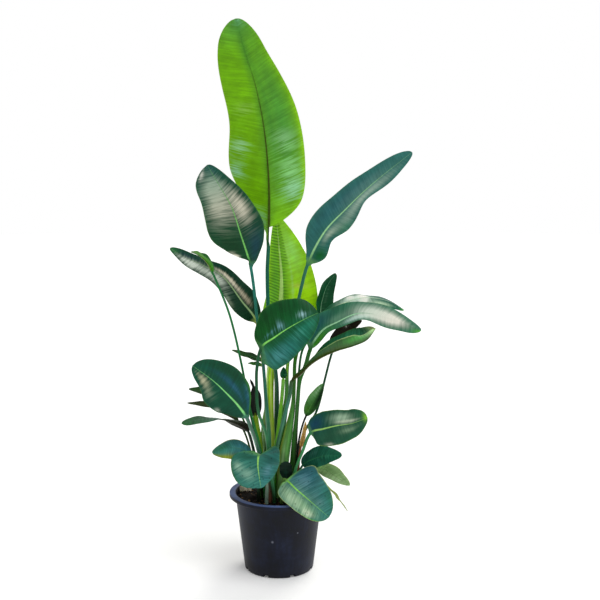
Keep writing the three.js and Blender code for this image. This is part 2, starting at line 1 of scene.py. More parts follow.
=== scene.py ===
import math
import random

import bpy
import numpy as np
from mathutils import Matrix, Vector


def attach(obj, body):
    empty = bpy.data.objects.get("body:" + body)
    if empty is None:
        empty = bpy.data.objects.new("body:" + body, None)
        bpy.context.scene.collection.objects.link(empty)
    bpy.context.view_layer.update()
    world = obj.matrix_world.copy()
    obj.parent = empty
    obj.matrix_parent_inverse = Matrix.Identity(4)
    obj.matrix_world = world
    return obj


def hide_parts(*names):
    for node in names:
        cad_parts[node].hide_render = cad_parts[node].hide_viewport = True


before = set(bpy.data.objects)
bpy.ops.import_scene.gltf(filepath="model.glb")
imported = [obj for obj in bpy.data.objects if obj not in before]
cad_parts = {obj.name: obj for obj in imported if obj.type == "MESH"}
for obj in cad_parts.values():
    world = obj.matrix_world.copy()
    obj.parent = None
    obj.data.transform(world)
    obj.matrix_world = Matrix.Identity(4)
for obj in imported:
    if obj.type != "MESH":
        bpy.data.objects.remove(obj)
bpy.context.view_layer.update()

# Nursery pot
# One piece of black polypropylene, injection moulded: a tapered wall, a flat floor, and an
# out-turned rim whose lip turns down. Eight drain holes cut through the corner of the floor.
MM = 0.001
RIM_RADIUS = 150
POT_HEIGHT = 237
BASE_RADIUS = 104.5
NECK_RADIUS = 133
WALL = 3
FLOOR = 4
LIP_DEPTH = 12
LIP_THICKNESS = 3
POT_SIDES = 160
DRAIN_HOLES = 8
DRAIN_SIZE = (34, 16, 18)
SMOOTH_UNDER = 35
# The foot zone is dust; the rim zone is a painted blue-grey sheen along the top of the lip.
DUST_AND_SHEEN_ZONES = [((0.0, 0.05, 0.35, 0.0), "2e2a28"), ((0.2345, 0.2368, 0.0, 1.7), "4a5c88")]
KNOCKS = [((-0.0197, -0.117, 0.118), 0.0052), ((0.0549, -0.1086, 0.1427), 0.0034)]


def linear(hex_colour):
    """An sRGB hex colour as linear red, green, blue and alpha."""
    parts = [int(hex_colour[i:i + 2], 16) / 255 for i in (0, 2, 4)]
    return (*(p / 12.92 if p <= 0.04045 else ((p + 0.055) / 1.055) ** 2.4 for p in parts), 1.0)


def add(tree, kind, inputs=None, **settings):
    """Adds one shader node with its settings, its values and its links."""
    made = tree.nodes.new(kind)
    for name, value in settings.items():
        setattr(made, name, value)
    for name, value in (inputs or {}).items():
        if isinstance(value, bpy.types.NodeSocket):
            tree.links.new(value, made.inputs[name])
        else:
            made.inputs[name].default_value = value
    return made


def noise(tree, place, scale, detail, roughness=0.5, distortion=0.0):
    """A noise from 0 to 1. Three scales draw it out into streaks or fibres."""
    if isinstance(scale, tuple):
        place = add(tree, "ShaderNodeMapping", {"Vector": place, "Scale": scale}).outputs["Vector"]
        scale = 1
    values = {"Vector": place, "Scale": scale, "Detail": detail, "Roughness": roughness}
    return add(tree, "ShaderNodeTexNoise", {**values, "Distortion": distortion}).outputs["Fac"]


def cells(tree, place, scale, output):
    """An output of a cell pattern, for flecks and marks."""
    return add(tree, "ShaderNodeTexVoronoi", {"Vector": place, "Scale": scale}).outputs[output]


def ramp(tree, factor, *stops):
    """A colour ramp. Each stop is a place with a hex colour or with a linear grey."""
    made = add(tree, "ShaderNodeValToRGB", {"Fac": factor})
    while len(made.color_ramp.elements) < len(stops):
        made.color_ramp.elements.new(0.5)
    for element, (place, shade) in zip(made.color_ramp.elements, stops):
        element.position = place
        element.color = linear(shade) if isinstance(shade, str) else (shade, shade, shade, 1.0)
    return made.outputs["Color"]


def mix(tree, share, colour, other, blend="MIX"):
    """A colour with a share of another one laid over it."""
    inputs = {0: share, 6: colour, 7: other}
    return add(tree, "ShaderNodeMix", inputs, data_type="RGBA", blend_type=blend).outputs[2]


def span(tree, value, low, high, to_low, to_high):
    """A value from low to high moved to another range, and kept in it."""
    inputs = {"Value": value, "From Min": low, "From Max": high, "To Min": to_low, "To Max": to_high}
    return add(tree, "ShaderNodeMapRange", inputs).outputs["Result"]


def maths(tree, operation, first, second, clamp=False):
    """Two values added or multiplied."""
    inputs = {0: first, 1: second}
    return add(tree, "ShaderNodeMath", inputs, operation=operation, use_clamp=clamp).outputs[0]


def bump(tree, height, strength, distance):
    """A relief of the surface, as a normal."""
    inputs = {"Height": height, "Strength": strength, "Distance": distance}
    return add(tree, "ShaderNodeBump", inputs).outputs["Normal"]


def new_material(name):
    """An empty material, its tree, and the place of a point on the piece."""
    material = bpy.data.materials.new(name)
    material.use_nodes = True
    tree = material.node_tree
    tree.nodes.clear()
    return material, tree, add(tree, "ShaderNodeTexCoord").outputs["Object"]


def skin(tree, colour, roughness, specular, *, thin=0, **sockets):
    """The surface of a material. thin is the share of light that comes through it."""
    inputs = {name.replace("_", " "): value for name, value in sockets.items()}
    inputs.update({"Base Color": colour, "Roughness": roughness, "Specular IOR Level": specular})
    surface = add(tree, "ShaderNodeBsdfPrincipled", inputs).outputs["BSDF"]
    if thin:
        glow = add(tree, "ShaderNodeBsdfTranslucent", {"Color": colour}).outputs["BSDF"]
        surface = add(tree, "ShaderNodeMixShader", {0: thin, 1: surface, 2: glow}).outputs["Shader"]
    add(tree, "ShaderNodeOutputMaterial", {"Surface": surface})


def add_piece(name, vertices, faces, material, smooth_under=SMOOTH_UNDER):
    """A mesh object from points in millimetres, smooth where its faces meet at a small angle."""
    mesh = bpy.data.meshes.new(name)
    mesh.from_pydata((np.asarray(vertices, float) * MM).tolist(), [], faces)
    mesh.validate()
    mesh.shade_smooth()
    mesh.set_sharp_from_angle(angle=math.radians(smooth_under))
    piece = bpy.data.objects.new(name, mesh)
    bpy.context.scene.collection.objects.link(piece)
    mesh.materials.append(material)
    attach(piece, "root")
    return piece


def circle(radius, height, sides):
    """Points of a level circle about Z."""
    turns = [2 * math.pi * i / sides for i in range(sides)]
    return [(radius * math.cos(turn), radius * math.sin(turn), height) for turn in turns]


def lathe(profile, sides):
    """Points and faces of a profile of (radius, height) turned about Z, closed on the axis."""
    points, faces, rings = [], [], []
    for radius, height in profile:
        start = len(points)
        points += circle(radius, height, sides) if radius else [(0, 0, height)]
        rings.append(range(start, start + sides) if radius else [start] * sides)
    for low, high in zip(rings, rings[1:]):
        for i in range(sides):
            j = (i + 1) % sides
            faces.append(list(dict.fromkeys([low[i], low[j], high[j], high[i]])))
    return points, faces


def wall_radius(height):
    """Radius of the pot's outer wall at a height."""
    return BASE_RADIUS + (NECK_RADIUS - BASE_RADIUS) * height / POT_HEIGHT


def moulded_polypropylene():
    """Satin black plastic: near-black blue, fine spark-eroded grain, dust on foot, painted sheen on rim.

    The foot zone is dust and the rim zone a painted blue-grey sheen; each goes from one height to
    another, with its share at both. A knock is a pale scratch at a place on the wall, with its reach.
    """
    material, tree, place = new_material("moulded polypropylene")
    cloud = noise(tree, place, 14, 5, 0.6)
    tint = ramp(tree, cloud, (0.32, "060911"), (0.5, "0a0f1f"), (0.66, "131a2e"), (0.8, "232a42"))
    streaks = ramp(tree, noise(tree, place, (120, 120, 6), 2), (0.35, 0.82), (0.7, 1.15))
    colour = mix(tree, 1.0, tint, streaks, "MULTIPLY")
    height = add(tree, "ShaderNodeSeparateXYZ", {"Vector": place}).outputs["Z"]
    for zone, dust_and_sheen in DUST_AND_SHEEN_ZONES:
        share = maths(tree, "MULTIPLY", span(tree, height, *zone), cloud)
        colour = mix(tree, share, colour, linear(dust_and_sheen))
    scuff = ramp(tree, cells(tree, place, 17, "Distance"), (0.0, 0.5), (0.045, 0.0))
    colour = mix(tree, scuff, colour, linear("6f737f"))
    for knock, reach in KNOCKS:
        away = add(tree, "ShaderNodeVectorMath", {0: place, 1: knock}, operation="DISTANCE")
        share = span(tree, away.outputs["Value"], 0, reach, 0.55, 0)
        colour = mix(tree, share, colour, linear("8a8e9c"))
    grain = bump(tree, noise(tree, place, 900, 3), 0.35, 0.0004)
    skin(tree, colour, span(tree, cloud, 0, 1, 0.38, 0.56), 0.18, Normal=grain, IOR=1.49)
    return material


def make_pot():
    """The pot, turned from one profile, with its drain holes cut out."""
    shelf = POT_HEIGHT - LIP_THICKNESS
    lip = RIM_RADIUS - LIP_THICKNESS
    hem = POT_HEIGHT - LIP_DEPTH
    mouth = wall_radius(POT_HEIGHT)
    profile = [
        (0, 0), (BASE_RADIUS - 20, 0), (BASE_RADIUS - 4, 0), (BASE_RADIUS - 1.4, 0.8),
        (wall_radius(3), 3), (wall_radius(20), 20), (wall_radius(120), 120),
        (wall_radius(shelf - 6), shelf - 6), (wall_radius(shelf) + 0.6, shelf - 1.5),
        (wall_radius(shelf) + 2.5, shelf), (lip - 2, shelf), (lip, shelf - 2), (lip, hem),
        (RIM_RADIUS - 1.5, hem - 0.4), (RIM_RADIUS, hem + 1), (RIM_RADIUS, POT_HEIGHT - 2.5),
        (RIM_RADIUS - 0.8, POT_HEIGHT - 0.8), (RIM_RADIUS - 2.5, POT_HEIGHT),
        (mouth + 2, POT_HEIGHT - 0.4), (mouth - 0.5, POT_HEIGHT - 1.2), (mouth - 2.2, POT_HEIGHT - 3),
        (mouth - WALL, POT_HEIGHT - 7), (wall_radius(120) - WALL, 120),
        (wall_radius(FLOOR + 3) - WALL, FLOOR + 3), (wall_radius(FLOOR) - WALL - 3, FLOOR), (0, FLOOR),
    ]
    pot = add_piece("pot_shell", *lathe(profile, POT_SIDES), moulded_polypropylene())
    for i in range(DRAIN_HOLES):
        turn = (i + 0.5) * 2 * math.pi / DRAIN_HOLES
        bpy.ops.mesh.primitive_cube_add(size=1)
        cutter = bpy.context.object
        cutter.scale = [side * MM for side in DRAIN_SIZE]
        cutter.rotation_euler.z = turn
        cutter.location = (BASE_RADIUS * MM * math.cos(turn), BASE_RADIUS * MM * math.sin(turn), 0)
        cut = pot.modifiers.new("drain", "BOOLEAN")
        cut.object = cutter
        cut.solver = "EXACT"
        bpy.context.view_layer.update()
        evaluated = pot.evaluated_get(bpy.context.evaluated_depsgraph_get())
        shape = bpy.data.meshes.new_from_object(evaluated)
        pot.modifiers.remove(cut)
        pot.data = shape
        bpy.data.objects.remove(cutter)
    pot.data.shade_smooth()
    pot.data.set_sharp_from_angle(angle=math.radians(SMOOTH_UNDER))
    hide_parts("pot")


make_pot()

# Potting mix
# Damp peat and composted bark fill the pot to just under the rim. The surface is crumbly and a
# little higher in the middle, round the stalks.
SOIL_TOP = 219
SOIL_FOOT = 6
SOIL_RINGS = 70
SOIL_SIDES = 180
MOUNDS = 240
MOUND_REACH = 110
HEAP_HEIGHT = 3.0


def damp_potting_mix():
    """Near-black brown peat with paler flecks; rough all over."""
    material, tree, place = new_material("damp potting mix")
    crumb = noise(tree, place, 260, 6, 0.7)
    tint = ramp(tree, crumb, (0.32, "030202"), (0.54, "0d0806"), (0.78, "281a13"))
    fleck = ramp(tree, cells(tree, place, 330, "Color"), (0.86, 0.0), (0.95, 0.4))
    colour = mix(tree, fleck, tint, linear("7a5a3c"))
    skin(tree, colour, 0.92, 0.1, Normal=bump(tree, crumb, 0.8, 0.0015))
    return material


def make_soil():
    """The plug of potting mix, its top heaped up in small mounds."""
    draw = random.Random(11)
    mounds = [(draw.uniform(-MOUND_REACH, MOUND_REACH), draw.uniform(-MOUND_REACH, MOUND_REACH),
               draw.uniform(4, 12), draw.uniform(-2.2, 3.0)) for _ in range(MOUNDS)]
    inside = wall_radius(SOIL_TOP) - WALL - 0.5
    points = [(0, 0, SOIL_FOOT)]
    for ring in range(SOIL_RINGS + 1):
        share = 1 - ring / SOIL_RINGS
        for x, y, _ in circle(inside * share, 0, SOIL_SIDES):
            lift = HEAP_HEIGHT * (1 - share ** 2)
            for mx, my, spread, tall in mounds:
                near = ((x - mx) ** 2 + (y - my) ** 2) / spread ** 2
                if near < 6:
                    lift += tall * math.exp(-near)
            points.append((x, y, SOIL_TOP - 1.5 + lift))
    low = len(points)
    points += circle(wall_radius(8) - WALL - 1, SOIL_FOOT, SOIL_SIDES)
    faces = []
    for i in range(SOIL_SIDES):
        j = (i + 1) % SOIL_SIDES
        faces.append([0, low + j, low + i])
        faces.append([low + i, low + j, 1 + j, 1 + i])
        for a in range(1, 1 + SOIL_RINGS * SOIL_SIDES, SOIL_SIDES):
            faces.append([a + i, a + j, a + j + SOIL_SIDES, a + i + SOIL_SIDES])
    soil = add_piece("potting_mix", points, faces, damp_potting_mix(), smooth_under=60)
    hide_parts("soil")


make_soil()

# Bark chips and bits of sheath on the soil
# Bits of composted pine bark, broken flat, lie loose on the mix. Three pale bits of a dry leaf
# sheath lean on the pot's wall at the left.
CHIP_COUNT = 230
CHIP_REACH = 118
CHIP_CORNERS = 6
SHEATH_BITS = [(-111, 46, 20, 15, 0.5), (-103, 46, 12, 9, -0.3), (-90, 45, 11, 9, -0.3)]
SHEATH_ROWS = 5
SHEATH_COLUMNS = 7
BACK_APART = 0.8


def broken_bark():
    """Fibrous bark: red-brown to tan, each chip its own shade."""
    material, tree, place = new_material("broken bark")
    shade = add(tree, "ShaderNodeAttribute", attribute_name="chip_shade").outputs["Fac"]
    fibre = noise(tree, place, (900, 160, 900), 3)
    tint = ramp(tree, shade, (0.0, "120b08"), (0.55, "301d12"), (0.85, "7a5836"), (1.0, "efe6cf"))
    colour = mix(tree, 1.0, tint, ramp(tree, fibre, (0.3, 0.6), (0.7, 1.15)), "MULTIPLY")
    skin(tree, colour, 0.85, 0.15, Normal=bump(tree, fibre, 0.6, 0.0006))
    return material


def store(piece, name, kind, field, values):
    """Keeps a value for each point of a piece, for its material to read."""
    piece.data.attributes.new(name, kind, "POINT").data.foreach_set(field, np.ravel(values))


def chip(draw, centre, length, width, thick, turn):
    """Points of one flat chip: an uneven six-sided plate, a little tilted."""
    tilt = (draw.uniform(-0.3, 0.3), draw.uniform(-0.3, 0.3))
    points = []
    for side, shrink in ((-1, 0.8), (1, 1.0)):
        for k in range(CHIP_CORNERS):
            angle = 2 * math.pi * k / CHIP_CORNERS + draw.uniform(-0.3, 0.3)
            reach = draw.uniform(0.75, 1.0) * shrink
            x = math.cos(angle) * length / 2 * reach
            y = math.sin(angle) * width / 2 * reach
            z = side * thick / 2 + tilt[0] * x + tilt[1] * y
            points.append((centre[0] + x * math.cos(turn) - y * math.sin(turn),
                           centre[1] + x * math.sin(turn) + y * math.cos(turn), centre[2] + z))
    return points


def make_chips():
    """Loose chips all over the soil, each with its own shade."""
    draw = random.Random(5)
    points, faces, shades = [], [], []
    for start in range(0, CHIP_COUNT * 2 * CHIP_CORNERS, 2 * CHIP_CORNERS):
        reach = CHIP_REACH * math.sqrt(draw.random())
        turn = draw.uniform(0, 2 * math.pi)
        length = draw.uniform(4, 14)
        centre = (reach * math.cos(turn), reach * math.sin(turn), SOIL_TOP + 1.6)
        shades += [draw.uniform(0.0, 0.9)] * 2 * CHIP_CORNERS
        points += chip(draw, centre, length, length * draw.uniform(0.35, 0.7),
                       draw.uniform(1.2, 2.6), draw.uniform(0, math.pi))
        low = range(start, start + CHIP_CORNERS)
        high = range(start + CHIP_CORNERS, start + 2 * CHIP_CORNERS)
        faces += [list(low[::-1]), list(high)]
        for k in range(CHIP_CORNERS):
            n = (k + 1) % CHIP_CORNERS
            faces.append([low[k], low[n], high[n], high[k]])
    chips = add_piece("bark_chips", points, faces, broken_bark(), smooth_under=50)
    store(chips, "chip_shade", "FLOAT", "value", shades)


def papery_sheath():
    """Dry leaf sheath, thin as paper: cream with fine fibres, and light comes through it."""
    material, tree, place = new_material("papery sheath")
    fibre = noise(tree, place, (1100, 1100, 140), 3)
    tint = ramp(tree, fibre, (0.3, "e0d2b4"), (0.6, "fffaf0"))
    skin(tree, tint, 0.8, 0.5, thin=0.4, Normal=bump(tree, fibre, 0.5, 0.0004))
    return material


def make_sheath_bits():
    """Crumpled bits of sheath, each a sheet with a front, a back and a rim round both."""
    draw = random.Random(8)
    points, faces = [], []
    sheet = SHEATH_ROWS * SHEATH_COLUMNS
    corners = np.arange(sheet).reshape(SHEATH_ROWS, SHEATH_COLUMNS)
    rim = [*corners[0], *corners[1:, -1], *corners[-1, -2::-1], *corners[-2:0:-1, 0]]
    for x, y, width, height, turn in SHEATH_BITS:
        start = len(points)
        for back in (0, 1):
            for row in range(SHEATH_ROWS):
                for column in range(SHEATH_COLUMNS):
                    across = (column / (SHEATH_COLUMNS - 1) - 0.5) * width
                    across *= 1 - 0.12 * row * (column % 2)
                    rise = height * row / (SHEATH_ROWS - 1)
                    lean = 0.35 * rise + draw.uniform(-0.7, 0.7) + BACK_APART * back
                    points.append((x + across * math.cos(turn) - lean * math.sin(turn) * 0.5,
                                   y + across * math.sin(turn) + lean * 0.5,
                                   SOIL_TOP + 1 + rise + draw.uniform(-0.8, 0.8)))
        for a, b, c, d in zip(corners[:-1, :-1].flat, corners[:-1, 1:].flat,
                              corners[1:, 1:].flat, corners[1:, :-1].flat):
            faces.append([start + corner for corner in (a, b, c, d)])
            faces.append([start + sheet + corner for corner in (a, d, c, b)])
        for corner, after in zip(rim, rim[1:] + rim[:1]):
            faces.append([start + after, start + corner, start + sheet + corner, start + sheet + after])
    bits = add_piece("sheath_bits", points, faces, papery_sheath(), smooth_under=70)


make_chips()
make_sheath_bits()

# Leaf growth
# Every leaf is a long stalk with a shallow channel, and one broad blade on a thick midrib. Side
# veins run from the rib to the edge, slanting to the tip, and pleat the blade between them.
HOLE_DEPTH = 40
GAP = 0.4
FOOT_ABOVE = 12
BLADE = 0.8
BLADE_EDGE = 0.45
NARROWEST = 0.9
RIB_DEPTH = 1.5
RIB_TIP_DEPTH = 1.6
RIB_TIP_HALF_WIDTH = 0.7
RIB_TAPER = 1.6
RIB_DEPTH_TAPER = 1.3
RIB_MOST = 0.3
RIB_RIM_HEIGHT = 0.25
RIB_RIM_PLACE = 0.75
RIB_RIM_SPREAD = 0.3
SHEATH_START = 0.25
SHEATH_END = 0.6
STALK_END = 0.985
STALK_TINT_RISE = 400
CHANNEL_DEPTH = 0.18
CHANNEL_SHARE = 0.16
ROW_STEP = 3.2
FIRST_ROW = 0.012
CLOSER_AT_ENDS = 0.3
STALK_STEP = 12
PLEAT_PITCH = 13
PLEAT_HEIGHT = 0.28
PLEAT_WAVES = [(0.6, 1), (0.4, 1.62), (0.5, 4.3)]
PLEAT_FADES = (5, 9, 7)
PLEATED_WIDTH = 40
VEIN_SLANT = 0.34
RIGHT_WAVE_SHIFT = 0.3
LOBE_TAPER = 7
STALK_GRAIN = 400
LOWER_GRAIN = 180
EDGE_BAND = 0.05
STRIPE_DEPTH = 0.13
STALK_COLOUR_FADE = 12
BASE_FADE = 25
TIP_COLOUR_POWER = 1.5
RIB_FADE_REACH = 0.2
SHEEN_AND_BLOOM_OFF_RIB = 0.7
STATIONS = [0, 0.08, 0.2, 0.35, 0.55, 0.75, 0.9, 1]
OVAL = [0.6, 0.88, 1, 0.94, 0.7, 0.42]
BLADE_COLUMNS = np.array([1, 0.985, 0.95, 0.89, 0.81, 0.72, 0.63, 0.54, 0.45, 0.36, 0.27, 0.19])
RIB_COLUMNS = np.array([1.0, 0.8, 0.45])
RIB_COLOUR_BELOW = "4f8a4a"


def curve_at(points, t):
    """Point at t of a centripetal Catmull-Rom curve through the points."""
    place = (len(points) - 1) * min(max(t, 0), 1)
    k = min(int(place), len(points) - 2)
    w = place - k
    b, c = points[k], points[k + 1]
    a = points[k - 1] if k else 2 * b - c
    d = points[k + 2] if k + 2 < len(points) else 2 * c - b
    ab, bc, cd = [math.sqrt((q - p).length) for p, q in ((a, b), (b, c), (c, d))]
    leave = ((b - a) / ab - (c - a) / (ab + bc) + (c - b) / bc) * bc
    arrive = ((c - b) / bc - (d - b) / (bc + cd) + (d - c) / cd) * bc
    return (b + leave * w + (3 * (c - b) - 2 * leave - arrive) * w * w
            + (2 * (b - c) + leave + arrive) * w ** 3)


def even_steps(points, start, end):
    """Function from a share of the arc length to the curve's t, and that length."""
    steps = [start + (end - start) * i / 80 for i in range(81)]
    places = [curve_at(points, t) for t in steps]
    lengths = [0.0]
    for p, q in zip(places, places[1:]):
        lengths.append(lengths[-1] + (q - p).length)
    return lambda u: float(np.interp(u * lengths[-1], lengths, steps)), lengths[-1]


def half_width(widths, u):
    """Half-width at u from six widths along one side, rounded at both ends."""
    squares = [0, *(w * w for w in widths), 0]
    k = 0
    while k < len(STATIONS) - 2 and u > STATIONS[k + 1]:
        k += 1
    reach = STATIONS[k + 1] - STATIONS[k]
    t = (u - STATIONS[k]) / reach

    def slope(i):
        a, b = max(i - 1, 0), min(i + 1, len(squares) - 1)
        return (squares[b] - squares[a]) / (STATIONS[b] - STATIONS[a]) * reach

    value = ((2 * t ** 3 - 3 * t ** 2 + 1) * squares[k] + (t ** 3 - 2 * t ** 2 + t) * slope(k)
             + (3 * t ** 2 - 2 * t ** 3) * squares[k + 1] + (t ** 3 - t ** 2) * slope(k + 1))
    return math.sqrt(max(value, 0))


def foot(x, y):
    """The first points of a stalk: straight up out of its hole."""
    return [(x, y, SOIL_TOP - HOLE_DEPTH + GAP), (x, y, SOIL_TOP - 6), (x, y, SOIL_TOP + FOOT_ABOVE)]


def pair(value):
    """A pair as it is, or twice a value that is given alone."""
    return value if len(value) == 2 else (value, value)


def rgb(hex_colour):
    """Linear red, green and blue of an sRGB hex colour."""
    return np.array(linear(hex_colour)[:3])


def blended(colour, other, share):
    """Mixes two colours, or arrays of them, by a share or an array of shares."""
    share = np.asarray(share)[..., None]
    return colour * (1 - share) + other * share


def patch_share(u, v, patch):
    """Weight of one soft oval patch, given as (u, v, reach along, reach across, strength)."""
    at_u, at_v, along, across, strength = patch
    return strength * np.exp(-((u - at_u) / along) ** 2 - ((v - at_v) / across) ** 2)


def painted(colour, u, v, patches):
    """A colour with the patches laid over it one after another."""
    for tint, *patch in patches:
        colour = blended(colour, rgb(tint), np.minimum(patch_share(u, v, patch), 1))
    return colour


def gathered_sheen_and_bloom(u, v, patches):
    """The colour of the bloom and painted sheen, mixed from its patches, and how much lies at each v."""
    sheen_and_bloom = np.tile((0.5, 0.5, 0.5, 0.0), (len(v), 1))
    for tint, *patch in patches:
        share = patch_share(u, v, patch)[:, None]
        total = np.maximum(sheen_and_bloom[:, 3:] + share, 1e-6)
        sheen_and_bloom[:, :3] = (sheen_and_bloom[:, :3] * sheen_and_bloom[:, 3:] + rgb(tint) * share) / total
        sheen_and_bloom[:, 3:] = np.minimum(total, 1)
    return sheen_and_bloom


def both_skins(rows, columns):
    """Faces of an upper and a lower sheet of points, sewn together all round."""
    faces = []
    shift = rows * columns
    for i in range(rows - 1):
        for j in range(columns - 1):
            a = i * columns + j
            faces.append((a, a + 1, a + 1 + columns, a + columns))
            faces.append((a + shift, a + columns + shift, a + 1 + columns + shift, a + 1 + shift))
        a, b = i * columns, (i + 1) * columns - 1
        faces.append((b + shift, b + columns + shift, b + columns, b))
        faces.append((a, a + columns, a + columns + shift, a + shift))
    last = (rows - 1) * columns
    for j in range(columns - 1):
        faces.append((j + shift, j + 1 + shift, j + 1, j))
        faces.append((last + j, last + j + 1, last + j + 1 + shift, last + j + shift))
    return faces


def leaf_shape(seed, *, stem, rib, face, left, right=None, fold=(0, 0), fold_left=None,
               fold_right=None, cup=0, cup_left=None, cup_right=None, wave=(2, 2.5, 0), lobe=(4, 4),
               thick, row_step=ROW_STEP):
    """Points, faces and vein grain of a stalk with its blade, and the place of each row on it.

    stem and rib are the route of the stalk and the midrib, face the way the upper side looks.
    left and right are half-widths as seen on the upper side with the tip up: six, or the widest
    of an oval. fold, cup, wave and lobe bend the halves, thick is the stalk's radius at foot and
    top. A pair is for base and tip. A row of the stalk lies at (height, v, None, None), a row of
    the blade at (u, v, share of the rib, way along the veins). u runs from base to tip, v across
    from -1 left to 1 right.
    """
    points = [Vector(p) for p in [*stem, *rib]]
    join = len(stem) / (len(points) - 1)
    on_stem, stem_length = even_steps(points, 0, join)
    on_blade, blade_length = even_steps(points, join, 1)
    foot_radius, top_radius = thick
    sides = []
    for sign, widths, own_fold, own_cup, own_lobe in (
            (-1, left, fold_left, cup_left, lobe[0]),
            (1, right or left, fold_right, cup_right, lobe[1])):
        widths = [w * widths for w in OVAL] if isinstance(widths, (int, float)) else widths
        curl = math.radians((cup if own_cup is None else own_cup) or 0.5)
        sides.append((sign, widths, own_fold or fold, curl, own_lobe))
    half = len(BLADE_COLUMNS) + len(RIB_COLUMNS)
    columns = 2 * half + 1
    face_base, face_tip = [Vector(way) for way in pair(face)]
    draw = random.Random(seed + 100)
    offsets = [draw.uniform(0, 6.28) for _ in PLEAT_WAVES]
    from_rib, from_base, from_tip = PLEAT_FADES
    grain_shift = seed * 7.0

    def frame_at(t, u):
        origin = curve_at(points, t)
        ahead = (curve_at(points, t + 1e-4) - curve_at(points, t - 1e-4)).normalized()
        across = ahead.cross(face_base.lerp(face_tip, u)).normalized()
        return [np.array(q) for q in (origin, ahead, across, across.cross(ahead).normalized())]

    # One entry for each row: its points and grain on both sides, and its place on the leaf.
    upper, lower, grain_upper, grain_lower, where = [], [], [], [], []
    straight = (HOLE_DEPTH + FOOT_ABOVE - 4) / stem_length
    stalk_rows = max(12, int(stem_length / STALK_STEP))
    index = np.arange(columns)
    angles = math.pi * (1 - (index + 0.5) / columns)
    channel = 1 - CHANNEL_DEPTH * np.exp(-((index - half) / (CHANNEL_SHARE * columns)) ** 2)
    for i in range(stalk_rows + 1):
        s = 0 if i == 0 else straight + (STALK_END - straight) * (i - 1) / (stalk_rows - 1)
        origin, ahead, across, up = frame_at(on_stem(s), 0)
        open_share = min(max((s - SHEATH_START) / (SHEATH_END - SHEATH_START), 0), 1)
        slim = open_share ** 2 * (3 - 2 * open_share)
        radius = foot_radius + (top_radius - foot_radius) * slim
        for turn, rows, grains, dent in ((1, upper, grain_upper, channel), (-1, lower, grain_lower, 1)):
            rows.append(origin + radius * np.outer(np.cos(angles), across)
                        + radius * np.outer(np.sin(angles) * dent, up) * turn)
            grains.append(np.stack([angles * turn * radius + STALK_GRAIN,
                                    np.full(columns, s * stem_length),
                                    np.full(columns, grain_shift)], 1))
        where.append((origin[2], np.cos(angles) * (1 if across[0] > 0 else -1), None, None))

    blade_rows = max(10, int(blade_length / row_step))
    for i in range(blade_rows + 1):
        x = FIRST_ROW + (1 - FIRST_ROW) * i / blade_rows
        u = min(x - math.sin(2 * math.pi * x) / (2 * math.pi) * CLOSER_AT_ENDS, 1)
        origin, ahead, across, up = frame_at(on_blade(u), u)
        rib_half = top_radius * (1 - u) ** RIB_TAPER + RIB_TIP_HALF_WIDTH * u
        rib_deep = max(top_radius * RIB_DEPTH * (1 - u) ** RIB_DEPTH_TAPER + RIB_TIP_DEPTH * u, BLADE)
        swell = math.sin(math.pi * min(u * 1.05, 1))
        halves = []
        for sign, widths, own_fold, curl, own_lobe in sides:
            width = max(half_width(widths, u), NARROWEST)
            bend = math.radians(own_fold[0] + (own_fold[1] - own_fold[0]) * u)
            rib_share = min(rib_half / width, RIB_MOST)
            v = np.append(BLADE_COLUMNS * (1 - rib_share) + rib_share, RIB_COLUMNS * rib_share)
            tilt = bend + curl * v
            out = width / curl * (np.sin(tilt) - math.sin(bend))
            lift = width / curl * (math.cos(bend) - np.cos(tilt))
            phase = wave[1] * u + wave[2] + (RIGHT_WAVE_SHIFT if sign > 0 else 0)
            lift = lift + wave[0] * swell * v * v * math.sin(2 * math.pi * phase)
            slanted = u * blade_length - VEIN_SLANT * width * v
            ridge = sum(share * np.sin(2 * math.pi * slanted / (PLEAT_PITCH * stretch) + offset)
                        for (share, stretch), offset in zip(PLEAT_WAVES, offsets))
            fade = (np.clip((v - rib_share) * from_rib, 0, 1) * np.clip(u * from_base, 0, 1)
                    * np.clip((1 - u) * from_tip, 0, 1))
            lift = lift + PLEAT_HEIGHT * min(width / PLEATED_WIDTH, 1) * ridge * fade
            back = own_lobe * v * (1 - u) ** LOBE_TAPER
            surface = (origin + sign * np.outer(out, across) + np.outer(lift, up)
                       - np.outer(back, ahead))
            normal = np.outer(np.cos(tilt), up) - sign * np.outer(np.sin(tilt), across)
            across_rib = np.clip(v / max(rib_share, 1e-6), 0, 1)
            keel = (rib_deep - BLADE) * np.sqrt(np.clip(1 - across_rib ** 2, 0, 1))
            thin = BLADE + (BLADE_EDGE - BLADE) * np.clip((v - 0.8) * 5, 0, 1)
            rim = np.exp(-((across_rib - RIB_RIM_PLACE) / RIB_RIM_SPREAD) ** 2)
            raised = RIB_RIM_HEIGHT * rib_half * (1 - u) * rim
            halves.append((surface + normal * raised[:, None], surface - normal * (thin + keel)[:, None],
                           np.stack([slanted, sign * width * v, np.full(half, grain_shift)], 1),
                           (sign * v)[:, None], np.clip(1.7 - 1.8 * across_rib, 0, 1)[:, None]))
        centres = (origin, origin - up * rib_deep, [u * blade_length, 0, grain_shift], [0.0], [1.0])
        row_upper, row_lower, grain, signed, on_rib = [
            np.vstack([first, centre, second[::-1]])
            for first, centre, second in zip(halves[0], centres, halves[1])]
        upper.append(row_upper)
        lower.append(row_lower)
        grain_upper.append(grain)
        grain_lower.append(grain + [LOWER_GRAIN, 0, 0])
        where.append((u, signed[:, 0], on_rib[:, 0], grain[:, 0]))
    return (np.vstack(upper + lower), both_skins(len(upper), columns),
            np.vstack(grain_upper + grain_lower), where)


